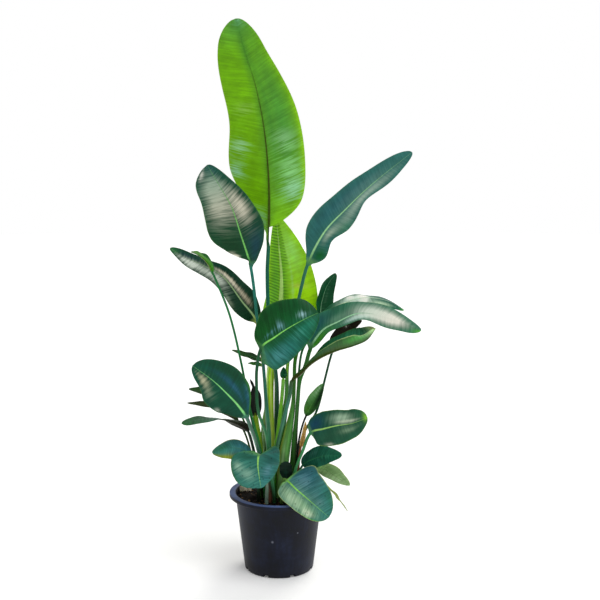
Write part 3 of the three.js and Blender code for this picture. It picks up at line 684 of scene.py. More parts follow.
def grow_leaf(label, blade, *, seed, top, under="3f7a45", ribs, stalk, edge="5a8f3a", edge_share=0.3,
              rib_fade=2.0, ladder=None, stalk_paint=(), paint=(), paint_under=(), sheen_and_bloom=(),
              sheen_and_bloom_under=(), name=None, node=None, **shape):
    """One leaf: stalk and blade in one mesh, with its colours, bloom, sheen and vein lines painted on.

    shape is what leaf_shape asks for. A pair of colours is for base and tip, in ribs for the upper
    and the lower side. A patch is (colour, u, v, reach, reach, strength), on the stalk (colour,
    height, v, reach, reach, strength), and ladder is (colour, from v, to v, pitch, strength) of
    dark cross-veins on the lower side. Patches give a leaf its own tints, and some are painted
    highlights, sheen and shade, such as a stalk paler on one side and darker on the other.
    """
    slot, material = blade
    points, faces, grain, where = leaf_shape(seed, **shape)
    leaf = add_piece(name or label + "_leaf", points, faces, material, smooth_under=50)
    colours, sheens_and_blooms = [], []
    rib_colours = (ribs, RIB_COLOUR_BELOW) if isinstance(ribs, str) else ribs
    for below, (base, tip), patches, dust_and_sheen in (
            (0, pair(top), paint, sheen_and_bloom), (1, pair(under), paint_under, sheen_and_bloom_under)):
        for u, v, on_rib, along in where:
            if on_rib is None:
                risen = np.clip((u - SOIL_TOP) / STALK_TINT_RISE, 0, 1)
                shades = blended(rgb(stalk[0]), rgb(stalk[1]), risen)
                stripes = np.sin(5.5 * v + seed * 1.9 + 0.006 * u) + np.sin(11 * v + seed)
                shades = shades * (1 + STRIPE_DEPTH * stripes[:, None])
                colours.append(painted(shades, u, v, stalk_paint))
                sheens_and_blooms.append(gathered_sheen_and_bloom(u, v, ()))
                continue
            shades = painted(blended(rgb(base), rgb(tip), u ** TIP_COLOUR_POWER), u, v, patches)
            if edge:
                margin = np.clip((abs(v) - (1 - EDGE_BAND)) / EDGE_BAND, 0, 1)
                shades = blended(shades, rgb(edge), edge_share * margin)
            if ladder and below:
                tint, from_v, to_v, pitch, strength = ladder
                rungs = np.sin(math.pi * along / pitch) ** 4 * (v > from_v) * (v < to_v)
                rungs = strength * rungs * np.clip((0.97 - abs(v)) * 8, 0, 1)
                shades = blended(shades, rgb(tint), rungs)
            faded = min(max((rib_fade + RIB_FADE_REACH - u) / RIB_FADE_REACH, 0), 1)
            rib_share = on_rib * min(1.0, 0.35 + (1 - u) * 1.2) * faded
            rib_tint = blended(rgb(stalk[1]), rgb(rib_colours[below]), min(u * STALK_COLOUR_FADE, 1))
            near_base = max(0.0, 1 - u * BASE_FADE)
            colours.append(blended(shades, rib_tint, np.maximum(rib_share, near_base)))
            sheen_and_bloom_row = gathered_sheen_and_bloom(u, v, dust_and_sheen)
            sheen_and_bloom_row[:, 3] *= 1 - SHEEN_AND_BLOOM_OFF_RIB * on_rib * faded
            sheens_and_blooms.append(sheen_and_bloom_row)
    painting = np.vstack(colours)
    store(leaf, "paint", "FLOAT_COLOR", "color", np.hstack([painting, np.ones((len(painting), 1))]))
    store(leaf, "sheen_and_bloom", "FLOAT_COLOR", "color", np.vstack(sheens_and_blooms))
    store(leaf, "grain", "FLOAT_VECTOR", "vector", grain)
    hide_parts(node or "leaf_" + label)


def waxy_blade(slot, name, rough, thin, streak_depth, breaks, specks=0.0):
    """Living leaf skin under a waxy cuticle: semi-gloss, vein lines, pale bloom and painted sheen.

    Veins stand 2 to 3 mm apart, drawn a little coarser than real so that they show. thin is the
    share of light that comes through the blade, breaks how far the veins break up the bloom, and
    specks the depth of the dark marks of an old blade. It gives the slot with the material.
    """
    material, tree, place = new_material(name)
    paint, sheen_and_bloom, grain = [add(tree, "ShaderNodeAttribute", attribute_name=stored).outputs
                           for stored in ("paint", "sheen_and_bloom", "grain")]
    fine = noise(tree, grain["Vector"], (0.42, 0.012, 1), 3, 0.6)
    broad = noise(tree, grain["Vector"], (0.14, 0.009, 1), 3, 0.65, 0.15)
    mottle = noise(tree, place, 32, 4)
    fine_shade = ramp(tree, fine, (0.3, 1 - streak_depth), (0.7, 1 + streak_depth))
    broad_shade = ramp(tree, broad, (0.3, 1 - 1.3 * streak_depth), (0.7, 1 + 1.3 * streak_depth))
    colour = paint["Color"]
    for shade in (fine_shade, broad_shade, ramp(tree, mottle, (0.3, 0.85), (0.7, 1.12))):
        colour = mix(tree, 1.0, colour, shade, "MULTIPLY")
    # The pale bloom, partly real wax and partly painted sheen, is laid over the colour and broken up along
    # the veins.
    lines = span(tree, broad, 0.42, 0.56, -0.85 * breaks, 0.25 * breaks)
    thick_sheen_and_bloom = maths(tree, "MULTIPLY", sheen_and_bloom["Alpha"], 1 + 0.55 * breaks)
    broken = maths(tree, "ADD", thick_sheen_and_bloom, lines)
    capped = maths(tree, "MULTIPLY", broken, sheen_and_bloom["Alpha"], clamp=True)
    colour = mix(tree, capped, colour, mix(tree, 1.0, sheen_and_bloom["Color"], fine_shade, "MULTIPLY"))
    if specks:
        marks = ramp(tree, cells(tree, place, 75, "Distance"), (0.1, 1 - specks), (0.24, 1.0))
        colour = mix(tree, 1.0, colour, marks, "MULTIPLY")
    veins = bump(tree, maths(tree, "ADD", fine, broad), 0.5, 0.0009)
    wax = span(tree, mottle, 0, 1, rough - 0.08, rough + 0.12)
    skin(tree, colour, wax, 0.15, thin=thin, Normal=veins, IOR=1.45)
    return slot, material


young_blade = waxy_blade("young_leaf", "waxy cuticle, young blade", 0.42, 0.2, 0.13, 0.9)
backlit_blade = waxy_blade("young_leaf", "waxy cuticle, backlit blade", 0.55, 0.15, 0.09, 0.5)
mature_blade = waxy_blade("mature_leaf", "waxy cuticle, mature blade", 0.38, 0, 0.2, 1.0)
sheen_blade = waxy_blade("mature_leaf", "waxy cuticle, pale sheen", 0.4, 0, 0.13, 0.5)
arched_blade = waxy_blade("mature_leaf", "waxy cuticle, arched blade", 0.4, 0, 0.09, 0.2)
old_blade = waxy_blade("mature_leaf", "waxy cuticle, old blade", 0.42, 0, 0.2, 0.55, 0.45)
pale_blade = waxy_blade("pale_leaf", "waxy cuticle, pale blade", 0.45, 0.1, 0.16, 0.7)

# Two young upright leaves
# The tallest leaf and one behind its stalk turn their lower sides to the front. They are thin
# and lime green, painted brighter where light comes through them, and painted mint streaks
# stand for light that glances off.
# Painted light: the lower side is painted brighter where light comes through it, the mint streaks are
# painted highlights, and the stalk is painted pale on one side and dark on the other.
grow_leaf("giant_lime", young_blade, seed=1,
    stem=[*foot(-2, 44), (-5, 56, 379), (-6, 60, 488), (-7, 58, 567), (-17, 48, 662), (-29, 44, 761),
        (-33, 40, 900)],
    rib=[(-29, 48, 987), (-27, 52, 1162), (-41, 40, 1328), (-66, 15, 1452), (-91, -10, 1529),
        (-117, -50, 1625)],
    face=[(0, 1, 0.1), (0.1, 1, 0.2)], left=[18, 100, 112, 105, 72, 50], right=[24, 77, 117, 102, 97, 72],
    fold=(8, 4), cup=6, wave=(4, 3, 0.1), lobe=(0, 0), thick=(9, 5.5),
    top=("5a9a1c", "5a9a28"), under=("7abc00", "6eb206"), ribs=("8fc060", "3f4a0a"),
    stalk=("1c4a24", "24604a"), edge="b4cc40", rib_fade=0.72,
    stalk_paint=[("6f9a6a", 540, -0.7, 90, 0.5, 0.85), ("0c2a14", 500, 1.0, 200, 0.35, 0.8),
        ("1f7058", 850, 0, 120, 3, 0.8)],
    paint_under=[("4c9a3a", 0.5, -0.5, 0.36, 0.45, 0.9), ("90d60c", 0.4, -0.98, 0.4, 0.1, 0.8),
        ("84cc14", 0.1, -0.55, 0.1, 0.5, 0.85), ("3c8a34", 0.52, -0.12, 0.3, 0.14, 0.75),
        ("489240", 1.0, 0.0, 0.09, 1.2, 0.85), ("3f8a30", 0.86, 0.0, 0.1, 0.15, 0.6)],
    sheen_and_bloom_under=[("96dc88", 0.34, -0.6, 0.09, 0.4, 0.65), ("9cdca8", 0.23, -0.7, 0.06, 0.4, 0.65),
        ("9cd498", 0.46, -0.5, 0.05, 0.4, 0.45), ("a4dca8", 0.44, 0.7, 0.05, 0.35, 0.7),
        ("7fb894", 0.1, 0.5, 0.07, 0.5, 0.6), ("9cd8ac", 0.33, 0.85, 0.04, 0.3, 0.8),
        ("b4e27a", 0.6, 0.5, 0.04, 0.4, 0.4), ("7fc49a", 1.0, -0.3, 0.04, 0.8, 0.6)])
# Painted light: the lower side is painted brighter where light comes through it, the mint bands are
# painted highlights, and the stalk is painted pale on one edge and olive on the other.
grow_leaf("second_lime", backlit_blade, seed=2,
    stem=[*foot(-29, 38), (-25, 40, 384), (-27, 54, 491), (-26, 72, 567), (-21, 86, 620)],
    rib=[(-4, 92, 698), (10, 112, 807), (11, 124, 882), (4, 138, 958), (-6, 158, 1058)],
    face=[(0.1, 1, -0.1), (0.1, 1, -0.2)], left=[107, 116, 110, 94, 67, 37],
    right=[60, 72, 62, 50, 35, 20], fold_left=(4, 4), fold_right=(35, 25), cup=4, wave=(4, 3, 0),
    thick=(12, 12), row_step=2.2,
    top=("5a9a1c", "5a9a28"), under=("acf600", "98d828"), ribs=("8fc060", "c0e880"),
    stalk=("a8c440", "b4e820"), edge="c4dc58", ladder=("2a6412", -0.22, 1.0, 9.5, 0.8),
    stalk_paint=[("e4f6c0", 560, -1.0, 170, 0.45, 0.95), ("e8f0a0", 540, 0.35, 120, 0.12, 0.8),
        ("6f8a1c", 540, 1.0, 130, 0.4, 0.85), ("8a6a2a", 440, -0.2, 70, 0.14, 0.85),
        ("cfd870", 400, 0.3, 90, 0.25, 0.8)],
    paint_under=[("c0ff00", 0.2, -0.7, 0.45, 0.55, 0.95), ("62b42a", 0.4, -0.1, 0.6, 0.12, 0.8),
        ("74c838", 0.4, 0.45, 0.6, 0.4, 0.85), ("2f8a14", 0.1, 0.9, 0.14, 0.3, 0.9),
        ("9ce470", 0.7, -0.5, 0.2, 0.3, 0.6), ("e0f468", 0.42, -0.5, 0.02, 0.25, 0.6)],
    sheen_and_bloom_under=[("b8f08c", 0.35, -0.3, 0.4, 0.06, 0.7), ("b8f08c", 0.72, -0.55, 0.1, 0.3, 0.5)])

# Dark leaves at the upper left
# Three mature leaves: an upright one with a painted pale sheen over its upper part, one folded
# shut on its rib, and a long one that reaches out to the left behind them, also painted with sheen.
# Painted light: the cream bloom is a painted sheen, the pale strokes at the base edge and the tip are
# painted highlights, and the pale line up the stalk is a painted highlight.
grow_leaf("upper_left", sheen_blade, seed=3,
    stem=[*foot(-36, -12), (-30, -12, 398), (-37, -9, 505), (-42, -6, 581), (-47, -5, 648), (-53, -7, 703),
        (-63, -9, 766), (-72, -22, 862)],
    rib=[(-82, -34, 931), (-108, -62, 1022), (-132, -88, 1100), (-170, -120, 1172), (-196, -140, 1219)],
    face=[(0, -1, 0.2), (0, -1, 0.3)], left=[16, 56, 86, 84, 70, 58], right=[34, 60, 72, 58, 40, 24],
    fold=(10, 6), cup=-8, wave=(4, 2.5, 0.2), thick=(7.5, 4.5),
    top=("08401f", "0f4a38"), ribs="74c060", stalk=("4f9a6a", "245f50"),
    stalk_paint=[("247a6a", 880, 0, 110, 3, 0.8), ("9fd0a8", 430, -0.8, 110, 0.25, 0.7)],
    paint=[("0f3c48", 0.16, 0.6, 0.16, 0.42, 0.9), ("063618", 0.25, -0.5, 0.12, 0.4, 0.7),
        ("1f5450", 0.97, 0.2, 0.1, 0.6, 0.7)],
    sheen_and_bloom=[("aeb09c", 0.6, -0.45, 0.22, 0.5, 0.85), ("c4c0ac", 0.54, 0.42, 0.2, 0.42, 0.85),
        ("7f9c88", 0.82, -0.2, 0.14, 0.7, 0.7), ("dcdad0", 0.95, -0.7, 0.04, 0.2, 0.6),
        ("d8d4c0", 0.13, -0.95, 0.05, 0.25, 0.9)])
grow_leaf("folded_left", mature_blade, seed=4,
    stem=[*foot(-42, -26), (-54, -44, 370), (-82, -58, 490), (-109, -75, 650), (-142, -90, 797)],
    rib=[(-188, -100, 918), (-196, -96, 936), (-211, -86, 952), (-231, -66, 963), (-252, -36, 968)],
    face=[(0.5, 0.1, 1), (0.2, 0, 1)], left=15, fold=(48, 40), cup=6, wave=(2, 2, 0), thick=(5.5, 3.5),
    top=("2a6a2a", "1c4f24"), under=("3f8a1c", "4a7a1c"), ribs=("5aa03a", "5a6a20"),
    stalk=("2f7a3a", "1c6a38"),
    paint_under=[("5a9a2a", 0.3, 0.6, 0.3, 0.4, 0.7)])
# Painted light: its cream and grey bloom is a painted sheen.
grow_leaf("long_left", sheen_blade, seed=5,
    stem=[*foot(-40, 8), (-40, 8, 430), (-39, 10, 501), (-43, 12, 577), (-48, 12, 638), (-53, 8, 676)],
    rib=[(-67, 15, 758), (-108, 15, 815), (-167, 24, 891), (-219, 36, 919), (-279, 54, 944),
        (-325, 70, 970)],
    face=[(0.1, -0.9, 0.4), (0, -0.8, 0.6)], left=[30, 38, 36, 35, 28, 15], right=[32, 46, 38, 27, 22, 18],
    fold=(6, 6), cup=-6, wave=(3, 3, 0.4), thick=(6.5, 4.5),
    top=("06301a", "103f30"), ribs="8fae7a", stalk=("2f6a4a", "7f9a3a"),
    stalk_paint=[("c8cc7a", 745, 0, 12, 3, 0.8)],
    paint=[("1b3a44", 0.85, 0.2, 0.1, 0.4, 0.6), ("1f6a30", 0.97, 0.0, 0.06, 1.0, 0.8)],
    sheen_and_bloom=[("ccd6c8", 0.78, -0.4, 0.15, 0.6, 0.95), ("bcc6b8", 0.5, -0.45, 0.16, 0.5, 0.9),
        ("cfc6ae", 0.42, 0.3, 0.16, 0.2, 0.95), ("a89c84", 0.2, 0.35, 0.1, 0.25, 0.7),
        ("8a9a80", 0.28, -0.85, 0.08, 0.2, 0.6)])

# Dark leaves at the upper right
# A long one with a waved lower edge and a small upright one behind the arching pair.
grow_leaf("upper_right", arched_blade, seed=6,
    stem=[*foot(-10, 18), (10, 16, 421), (24, 19, 520), (26, 25, 605), (39, 34, 701), (63, 44, 827)],
    rib=[(91, 58, 928), (141, 72, 1020), (205, 88, 1086), (253, 98, 1132), (308, 108, 1179),
        (406, 120, 1255)],
    face=[(0, -1, 0.2), (0, -1, 0.3)], left=[24, 54, 58, 50, 38, 27], right=[42, 35, 50, 25, 32, 21],
    fold=(6, 6), cup=4, wave=(5, 3.5, 0.3), thick=(11, 5),
    top=("2a6258", "2f6a62"), ribs="94c88c", stalk=("3f8a24", "4f8a40"),
    stalk_paint=[("3f7a6a", 490, 1.0, 160, 0.35, 0.9), ("8fc832", 612, 0, 26, 0.9, 0.9),
        ("2c6a54", 880, 0, 190, 3, 1.0)],
    paint=[("1f5560", 0.4, -0.5, 0.3, 0.4, 0.6), ("065a24", 0.07, 0.6, 0.05, 0.5, 0.95),
        ("2f6f50", 0.33, 0.7, 0.08, 0.4, 0.7)],
    sheen_and_bloom=[("9cb09a", 0.22, 0.4, 0.08, 0.3, 0.7), ("869f90", 0.45, 0.45, 0.2, 0.45, 0.7),
        ("8faa9a", 0.7, 0.4, 0.22, 0.5, 0.65), ("648884", 0.6, -0.4, 0.3, 0.3, 0.45)])
grow_leaf("small_upright", mature_blade, seed=7,
    stem=[*foot(30, 28), (54, 36, 463), (62, 46, 597), (73, 58, 660), (99, 76, 700)],
    rib=[(125, 96, 748), (132, 112, 794), (148, 122, 844), (177, 128, 886)],
    face=[(0.5, -0.9, 0), (0.6, -0.8, 0.2)], left=40, right=34, fold=(35, 25), cup=4, thick=(5.5, 3.5),
    top=("0a4a28", "0c4a2c"), ribs="7faa88", stalk=("2f5f2a", "1f5f30"),
    sheen_and_bloom=[("4f7a5c", 0.5, 0.3, 0.4, 0.15, 0.45)])

# The arching pair at the right
# Two long leaves bend over under their own weight, and the light from above lies along them
# as a cream sheen, painted into their colour. The front one shows a little of its bright lower
# side near the base.
# Painted light: the cream and pink bloom is a painted sheen with painted highlights, and the stalk is
# painted lime on one side and dark on the other.
grow_leaf("arching_back", arched_blade, seed=8,
    stem=[*foot(8, -14), (14, -13, 336), (30, -8, 428), (43, -2, 503), (47, 8, 578), (51, 20, 642),
        (77, 42, 709)],
    rib=[(132, 70, 761), (188, 78, 796), (265, 96, 815), (343, 118, 799), (390, 130, 771)],
    face=(0, -0.5, 0.85), left=[20, 34, 38, 32, 22, 12], right=[22, 40, 44, 38, 28, 16], fold=(-12, -18),
    cup=-10, wave=(3, 3, 0), thick=(17, 5.5),
    top=("276444", "1c5a48"), ribs="b8d0b0", stalk=("6aa858", "2f6a1c"),
    stalk_paint=[("9cb840", 400, -0.85, 80, 0.3, 0.9), ("8f8a3a", 340, -0.75, 60, 0.25, 0.85),
        ("2a6a24", 420, 1.0, 110, 0.35, 0.8), ("b0d49a", 330, 0.0, 60, 0.25, 0.5)],
    paint=[("3f9a2a", 1.0, 0.5, 0.05, 0.6, 0.8), ("14402c", 0.06, 0.0, 0.08, 1.0, 0.7),
        ("174c44", 0.82, -0.5, 0.16, 0.6, 0.85), ("1f5440", 0.25, 0.7, 0.14, 0.4, 0.7)],
    sheen_and_bloom=[("b8d0c0", 0.4, -0.1, 0.22, 0.8, 0.95), ("f6e6e2", 0.5, -0.2, 0.05, 0.6, 0.95),
        ("f0e2dc", 0.37, -0.5, 0.04, 0.4, 0.8), ("b4d0ac", 0.72, 0.55, 0.16, 0.3, 0.8)])
# Painted light: the cream bloom is a painted sheen, and one side of the stalk is painted near-black as
# shade.
grow_leaf("arching_front", arched_blade, seed=9,
    stem=[*foot(40, 4), (48, 6, 392), (53, -8, 462), (57, -15, 519), (63, -12, 580), (80, -5, 624)],
    rib=[(97, -14, 682), (132, -30, 736), (171, -46, 761), (234, -72, 792), (321, -104, 783),
        (407, -130, 751)],
    face=[(0, -0.75, 0.65), (0, -0.7, 0.7)], left=[40, 56, 50, 42, 34, 20], right=[20, 26, 24, 26, 32, 24],
    fold_left=(6, 0), fold_right=(30, -20), cup=-6, wave=(4, 3, 0.2), thick=(11, 6),
    top=("2c6c50", "2f6a50"), under=("3c8a0a", "3f8a2a"), ribs=("a8e0b0", "4f9a30"),
    stalk=("2a4a1c", "2f6a2a"), rib_fade=0.45,
    stalk_paint=[("141008", 380, 0.9, 90, 0.4, 0.85), ("2f7a20", 400, -0.6, 90, 0.5, 0.8)],
    paint=[("3f9410", 0.08, 0.55, 0.16, 0.6, 0.95), ("58b038", 1.0, 0.6, 0.05, 0.5, 0.9),
        ("185464", 0.12, -0.5, 0.12, 0.45, 0.85)],
    sheen_and_bloom=[("8fb89c", 0.3, -0.2, 0.1, 0.35, 0.5), ("c4d2c2", 0.58, -0.1, 0.16, 0.8, 0.95),
        ("dedacc", 0.78, 0.1, 0.14, 0.7, 0.95), ("a8ccc0", 0.45, 0.6, 0.12, 0.35, 0.8)])
# Painted shade: this leaf lies under the arching pair and is painted near-black brown, with one painted
# pale highlight.
grow_leaf("shaded", mature_blade, seed=10,
    stem=[*foot(55, 20), (72, 18, 400), (115, 26, 477), (141, 40, 575), (157, 48, 636)],
    rib=[(167, 52, 664), (184, 58, 692), (214, 66, 721), (254, 72, 748)],
    face=(0, -0.6, 0.8), left=30, right=20, fold=(10, 5), thick=(5, 3.5),
    top=("160d07", "1a140a"), under="1c160c", ribs=("2a1c10", "2a1c10"), stalk=("1f4a34", "1a4a30"),
    edge=None,
    sheen_and_bloom=[("c8c8bc", 0.62, -0.5, 0.05, 0.2, 0.7)])

# Boat-shaped leaf at the right
# A leaf not fully open, held low: its halves stand up from the rib like the sides of a boat,
# and the nearer one shows its lower side. The stalk bends sharply where the blade starts.
# Painted light: the pale patches near the tip of the lower side are painted highlights, and the pale edge
# of the stalk is a painted highlight.
grow_leaf("boat_right", mature_blade, seed=11,
    stem=[*foot(-26, -40), (-5, -41, 385), (7, -41, 437), (18, -42, 483), (28, -44, 523), (35, -46, 556)],
    rib=[(40, -42, 590), (62, -47, 609), (89, -56, 638), (124, -66, 663), (170, -84, 686),
        (215, -100, 702), (254, -116, 723), (277, -124, 756)],
    face=(0, -0.35, 0.95), left=[6, 8, 18, 44, 50, 40], right=[8, 10, 22, 44, 58, 52], fold_left=(45, 35),
    fold_right=(60, 52), cup=4, wave=(2, 3, 0), thick=(7, 5.5),
    top=("0a3f1c", "1a5f2c"), under=("183c08", "204e0c"), ribs=("7fae4a", "4a4a1c"),
    stalk=("3a7a5f", "3a4a1c"),
    stalk_paint=[("3f7f6c", 500, 0, 60, 3, 0.8), ("b4dcc0", 500, -1.0, 60, 0.35, 0.8),
        ("6a3f2c", 228, 0, 50, 3, 0.95)],
    paint=[("d4d48a", 1.0, 0.0, 0.06, 1.2, 0.85), ("2f8060", 0.75, -0.6, 0.25, 0.4, 0.75)],
    paint_under=[("3a4a18", 0.35, 0.12, 0.4, 0.28, 0.8), ("3a9a34", 0.85, 0.6, 0.2, 0.35, 0.85),
        ("b4d48c", 0.75, 0.99, 0.4, 0.035, 0.9), ("b0d890", 1.0, 0.5, 0.06, 0.8, 0.85),
        ("3a3f14", 0.03, 0.5, 0.12, 1.0, 0.9), ("2a5a34", 0.45, 0.75, 0.2, 0.3, 0.6)],
    sheen_and_bloom=[("5f9f7a", 0.9, -0.3, 0.1, 0.5, 0.6)],
    sheen_and_bloom_under=[("8fc47c", 0.88, 0.8, 0.06, 0.2, 0.5)])

# Round leaf at the front and two tips beside it
# The nearest large leaf nearly faces the camera, dark above its bright rib and teal below. Two
# narrow leaves behind it show only their tips, at its left.
# Painted light: the pale blue bloom along the rib is a painted highlight, so is the pale line up the
# stalk, and the dark band on the stalk just under the rim is painted shade.
grow_leaf("centre", mature_blade, seed=12,
    stem=[*foot(-14, -62), (-32, -60, 381), (-38, -64, 431), (-48, -70, 463), (-58, -77, 495),
        (-63, -83, 527), (-64, -90, 576), (-63, -97, 634)],
    rib=[(-48, -110, 701), (-12, -120, 730), (21, -127, 754), (73, -124, 783), (114, -110, 800)],
    face=[(-0.15, -1, 0.25), (-0.1, -1, 0.3)], left=[50, 76, 86, 84, 70, 52],
    right=[78, 83, 80, 70, 55, 33], fold=(6, 4), cup=-12, wave=(3, 2.5, 0.1), lobe=(4, 42),
    thick=(5.5, 4.5),
    top=("084c18", "0c4c28"), ribs="86d664", stalk=("3f8a5a", "1a5030"),
    stalk_paint=[("a0d4a4", 420, -0.6, 60, 0.25, 0.7), ("17341a", 228, 0, 50, 3, 0.95)],
    paint=[("3f8070", 0.0, 0.5, 0.08, 0.5, 0.7), ("246c66", 0.3, 0.65, 0.35, 0.4, 0.9),
        ("1a7058", 0.75, 0.4, 0.25, 0.4, 0.85), ("083c18", 0.5, -0.8, 0.3, 0.3, 0.6),
        ("0a4c20", 0.4, 0.12, 0.4, 0.12, 0.9)],
    sheen_and_bloom=[("4f858c", 0.22, -0.18, 0.16, 0.12, 0.8), ("6f9fa8", 0.42, -0.2, 0.06, 0.2, 0.6),
        ("88b0b4", 0.78, -0.22, 0.1, 0.18, 0.75), ("4a9090", 0.2, 0.6, 0.14, 0.3, 0.6),
        ("4a8f84", 0.6, 0.45, 0.14, 0.3, 0.5)])
grow_leaf("narrow_left", mature_blade, seed=13,
    stem=[*foot(-44, 26), (-45, 25, 425), (-38, 30, 496), (-43, 34, 566), (-45, 38, 605)],
    rib=[(-48, 40, 628), (-65, 34, 639), (-101, 20, 654), (-139, 2, 671)],
    face=[(0.1, -0.7, 0.7), (0, -0.6, 0.8)], left=12, fold=(10, 5), thick=(4, 3),
    top=("0f3a1a", "2f4a20"), under="1f4a20", ribs=("2f6a34", "2f5a30"), stalk=("4f8a2a", "2f6a34"))
grow_leaf("light_tip", pale_blade, seed=14,
    stem=[*foot(-50, 40), (-51, 38, 422), (-40, 43, 499), (-44, 50, 569), (-45, 52, 593)],
    rib=[(-50, 48, 613), (-68, 36, 622), (-92, 20, 627)],
    face=[(0.1, -0.9, 0.5), (0, -0.7, 0.7)], left=7, fold=(10, 5), thick=(3.5, 2.5),
    top="4f9440", under="5a9a4a", ribs=("5f9f48", "5a9a4a"), stalk=("4f9440", "5fae3a"))

# Leaves at the middle left
# A broad blade that faces up and left, a small one behind the stalks that is painted near-black
# as shade, and narrow ones seen on their edges with only the tips clear of it.
# Painted light: the cream bloom is a painted sheen, the blue patches and blue bloom are painted
# reflections, and the pale line up the stalk is a painted highlight.
grow_leaf("broad_left", sheen_blade, seed=15,
    stem=[*foot(-28, -56), (-51, -62, 345), (-59, -70, 378), (-68, -79, 414), (-79, -91, 451)],
    rib=[(-95, -103, 495), (-117, -114, 530), (-143, -128, 563), (-185, -148, 610), (-242, -172, 660)],
    face=[(-0.1, -0.9, 0.3), (-0.1, -0.8, 0.5)], left=[26, 42, 58, 62, 42, 26],
    right=[20, 46, 67, 72, 57, 38], fold_left=(4, 4), fold_right=(8, 4), cup_left=-8, cup_right=14,
    wave=(4, 2.5, 0.3), lobe=(4, 10), thick=(7, 5.5),
    top=("084430", "0a4a34"), ribs="84d47c", stalk=("5a3a2c", "3f8070"),
    stalk_paint=[("2f6f5c", 350, 0, 60, 3, 0.9), ("a4d4b8", 410, -0.6, 50, 0.3, 0.7),
        ("6a4434", 228, 0, 46, 3, 0.9)],
    paint=[("1a5068", 0.44, 0.4, 0.26, 0.12, 0.8), ("1a5a72", 0.2, 0.75, 0.14, 0.14, 0.8),
        ("3f8a2a", 0.2, 0.98, 0.2, 0.08, 0.8), ("073a20", 0.6, 0.75, 0.3, 0.2, 0.6)],
    sheen_and_bloom=[("a8a888", 0.8, -0.4, 0.13, 0.35, 0.9), ("7f9078", 0.6, -0.6, 0.12, 0.3, 0.6),
        ("c4c8ba", 0.34, -0.9, 0.06, 0.12, 0.7), ("4a88a0", 0.36, 0.42, 0.18, 0.05, 0.5),
        ("5f98ac", 0.24, 0.82, 0.12, 0.06, 0.5)])
# Painted shade: the blade is painted near-black where it lies behind the stalks, and so is the stalk just
# under the rim.
grow_leaf("dark_inner", mature_blade, seed=16,
    stem=[*foot(-58, -8), (-55, -14, 362), (-59, -19, 407), (-66, -23, 445)],
    rib=[(-70, -26, 478), (-71, -27, 510), (-70, -29, 541), (-75, -31, 567), (-84, -33, 589)],
    face=[(0.2, -1, 0.1), (0.2, -1, 0.2)], left=[15, 20, 20, 17, 6, 4], fold=(10, 5), thick=(10, 8.5),
    top=("060d06", "0a120a"), under="0c160c", ribs=("122012", "121c12"), stalk=("5f8a1c", "7f9f20"),
    edge=None,
    stalk_paint=[("3f6a1c", 400, 0.9, 80, 0.3, 0.7), ("0c0d08", 228, 0, 64, 3, 1.0)])
# Painted shade: the blade and its lower side are painted near-black brown at the base, and the stalk
# near-black just under the rim.
grow_leaf("level_left", mature_blade, seed=17,
    stem=[*foot(-62, -42), (-66, -54, 330), (-78, -60, 400)],
    rib=[(-92, -66, 442), (-142, -90, 479), (-213, -124, 494), (-278, -144, 486)],
    face=[(0, 0.6, 0.8), (0, -0.35, 1)], left=[19, 30, 32, 30, 27, 20], fold=(8, 0), cup=-6,
    thick=(5, 3.5),
    top=("2c5048", "1f5a28"), under=("1c1510", "2f5f2a"), ribs=("5f8478", "2a2018"),
    stalk=("1a2f20", "1c3428"), edge_share=0,
    stalk_paint=[("0c0d08", 228, 0, 64, 3, 1.0)],
    paint=[("1c1410", 0.12, 0.0, 0.2, 1.5, 0.95)],
    paint_under=[("3f5f50", 0.75, 0, 0.2, 2, 0.8)],
    sheen_and_bloom=[("6f8a82", 0.5, 0.2, 0.14, 0.9, 0.8)],
    sheen_and_bloom_under=[("7f9a94", 0.72, 0.0, 0.16, 0.9, 0.7)])
grow_leaf("high_tip_left", mature_blade, seed=18,
    stem=[*foot(-62, 10), (-82, 14, 377), (-107, 22, 452)],
    rib=[(-132, 34, 496), (-196, 64, 526), (-277, 92, 533)],
    face=[(0, -0.6, 0.8), (0, -0.5, 0.85)], left=22, fold=(8, 5), thick=(4.5, 3),
    top=("16300f", "1c4416"), under="2f5a1c", ribs=("3f6a24", "3f6a2a"), stalk=("2f4a1c", "2f5a24"),
    edge_share=0)
grow_leaf("low_tip_left", mature_blade, seed=19,
    stem=[*foot(-56, -28), (-84, -32, 369), (-102, -30, 427)],
    rib=[(-123, -26, 464), (-190, -14, 504), (-274, 0, 511)],
    face=[(0, -0.6, 0.8), (0, -0.5, 0.85)], left=14, fold=(8, 5), thick=(4.5, 3),
    top=("1c2a10", "2c3a16"), under="24401a", ribs=("3a4a1c", "2f4a20"), stalk=("2f4a1c", "24401a"),
    edge_share=0)

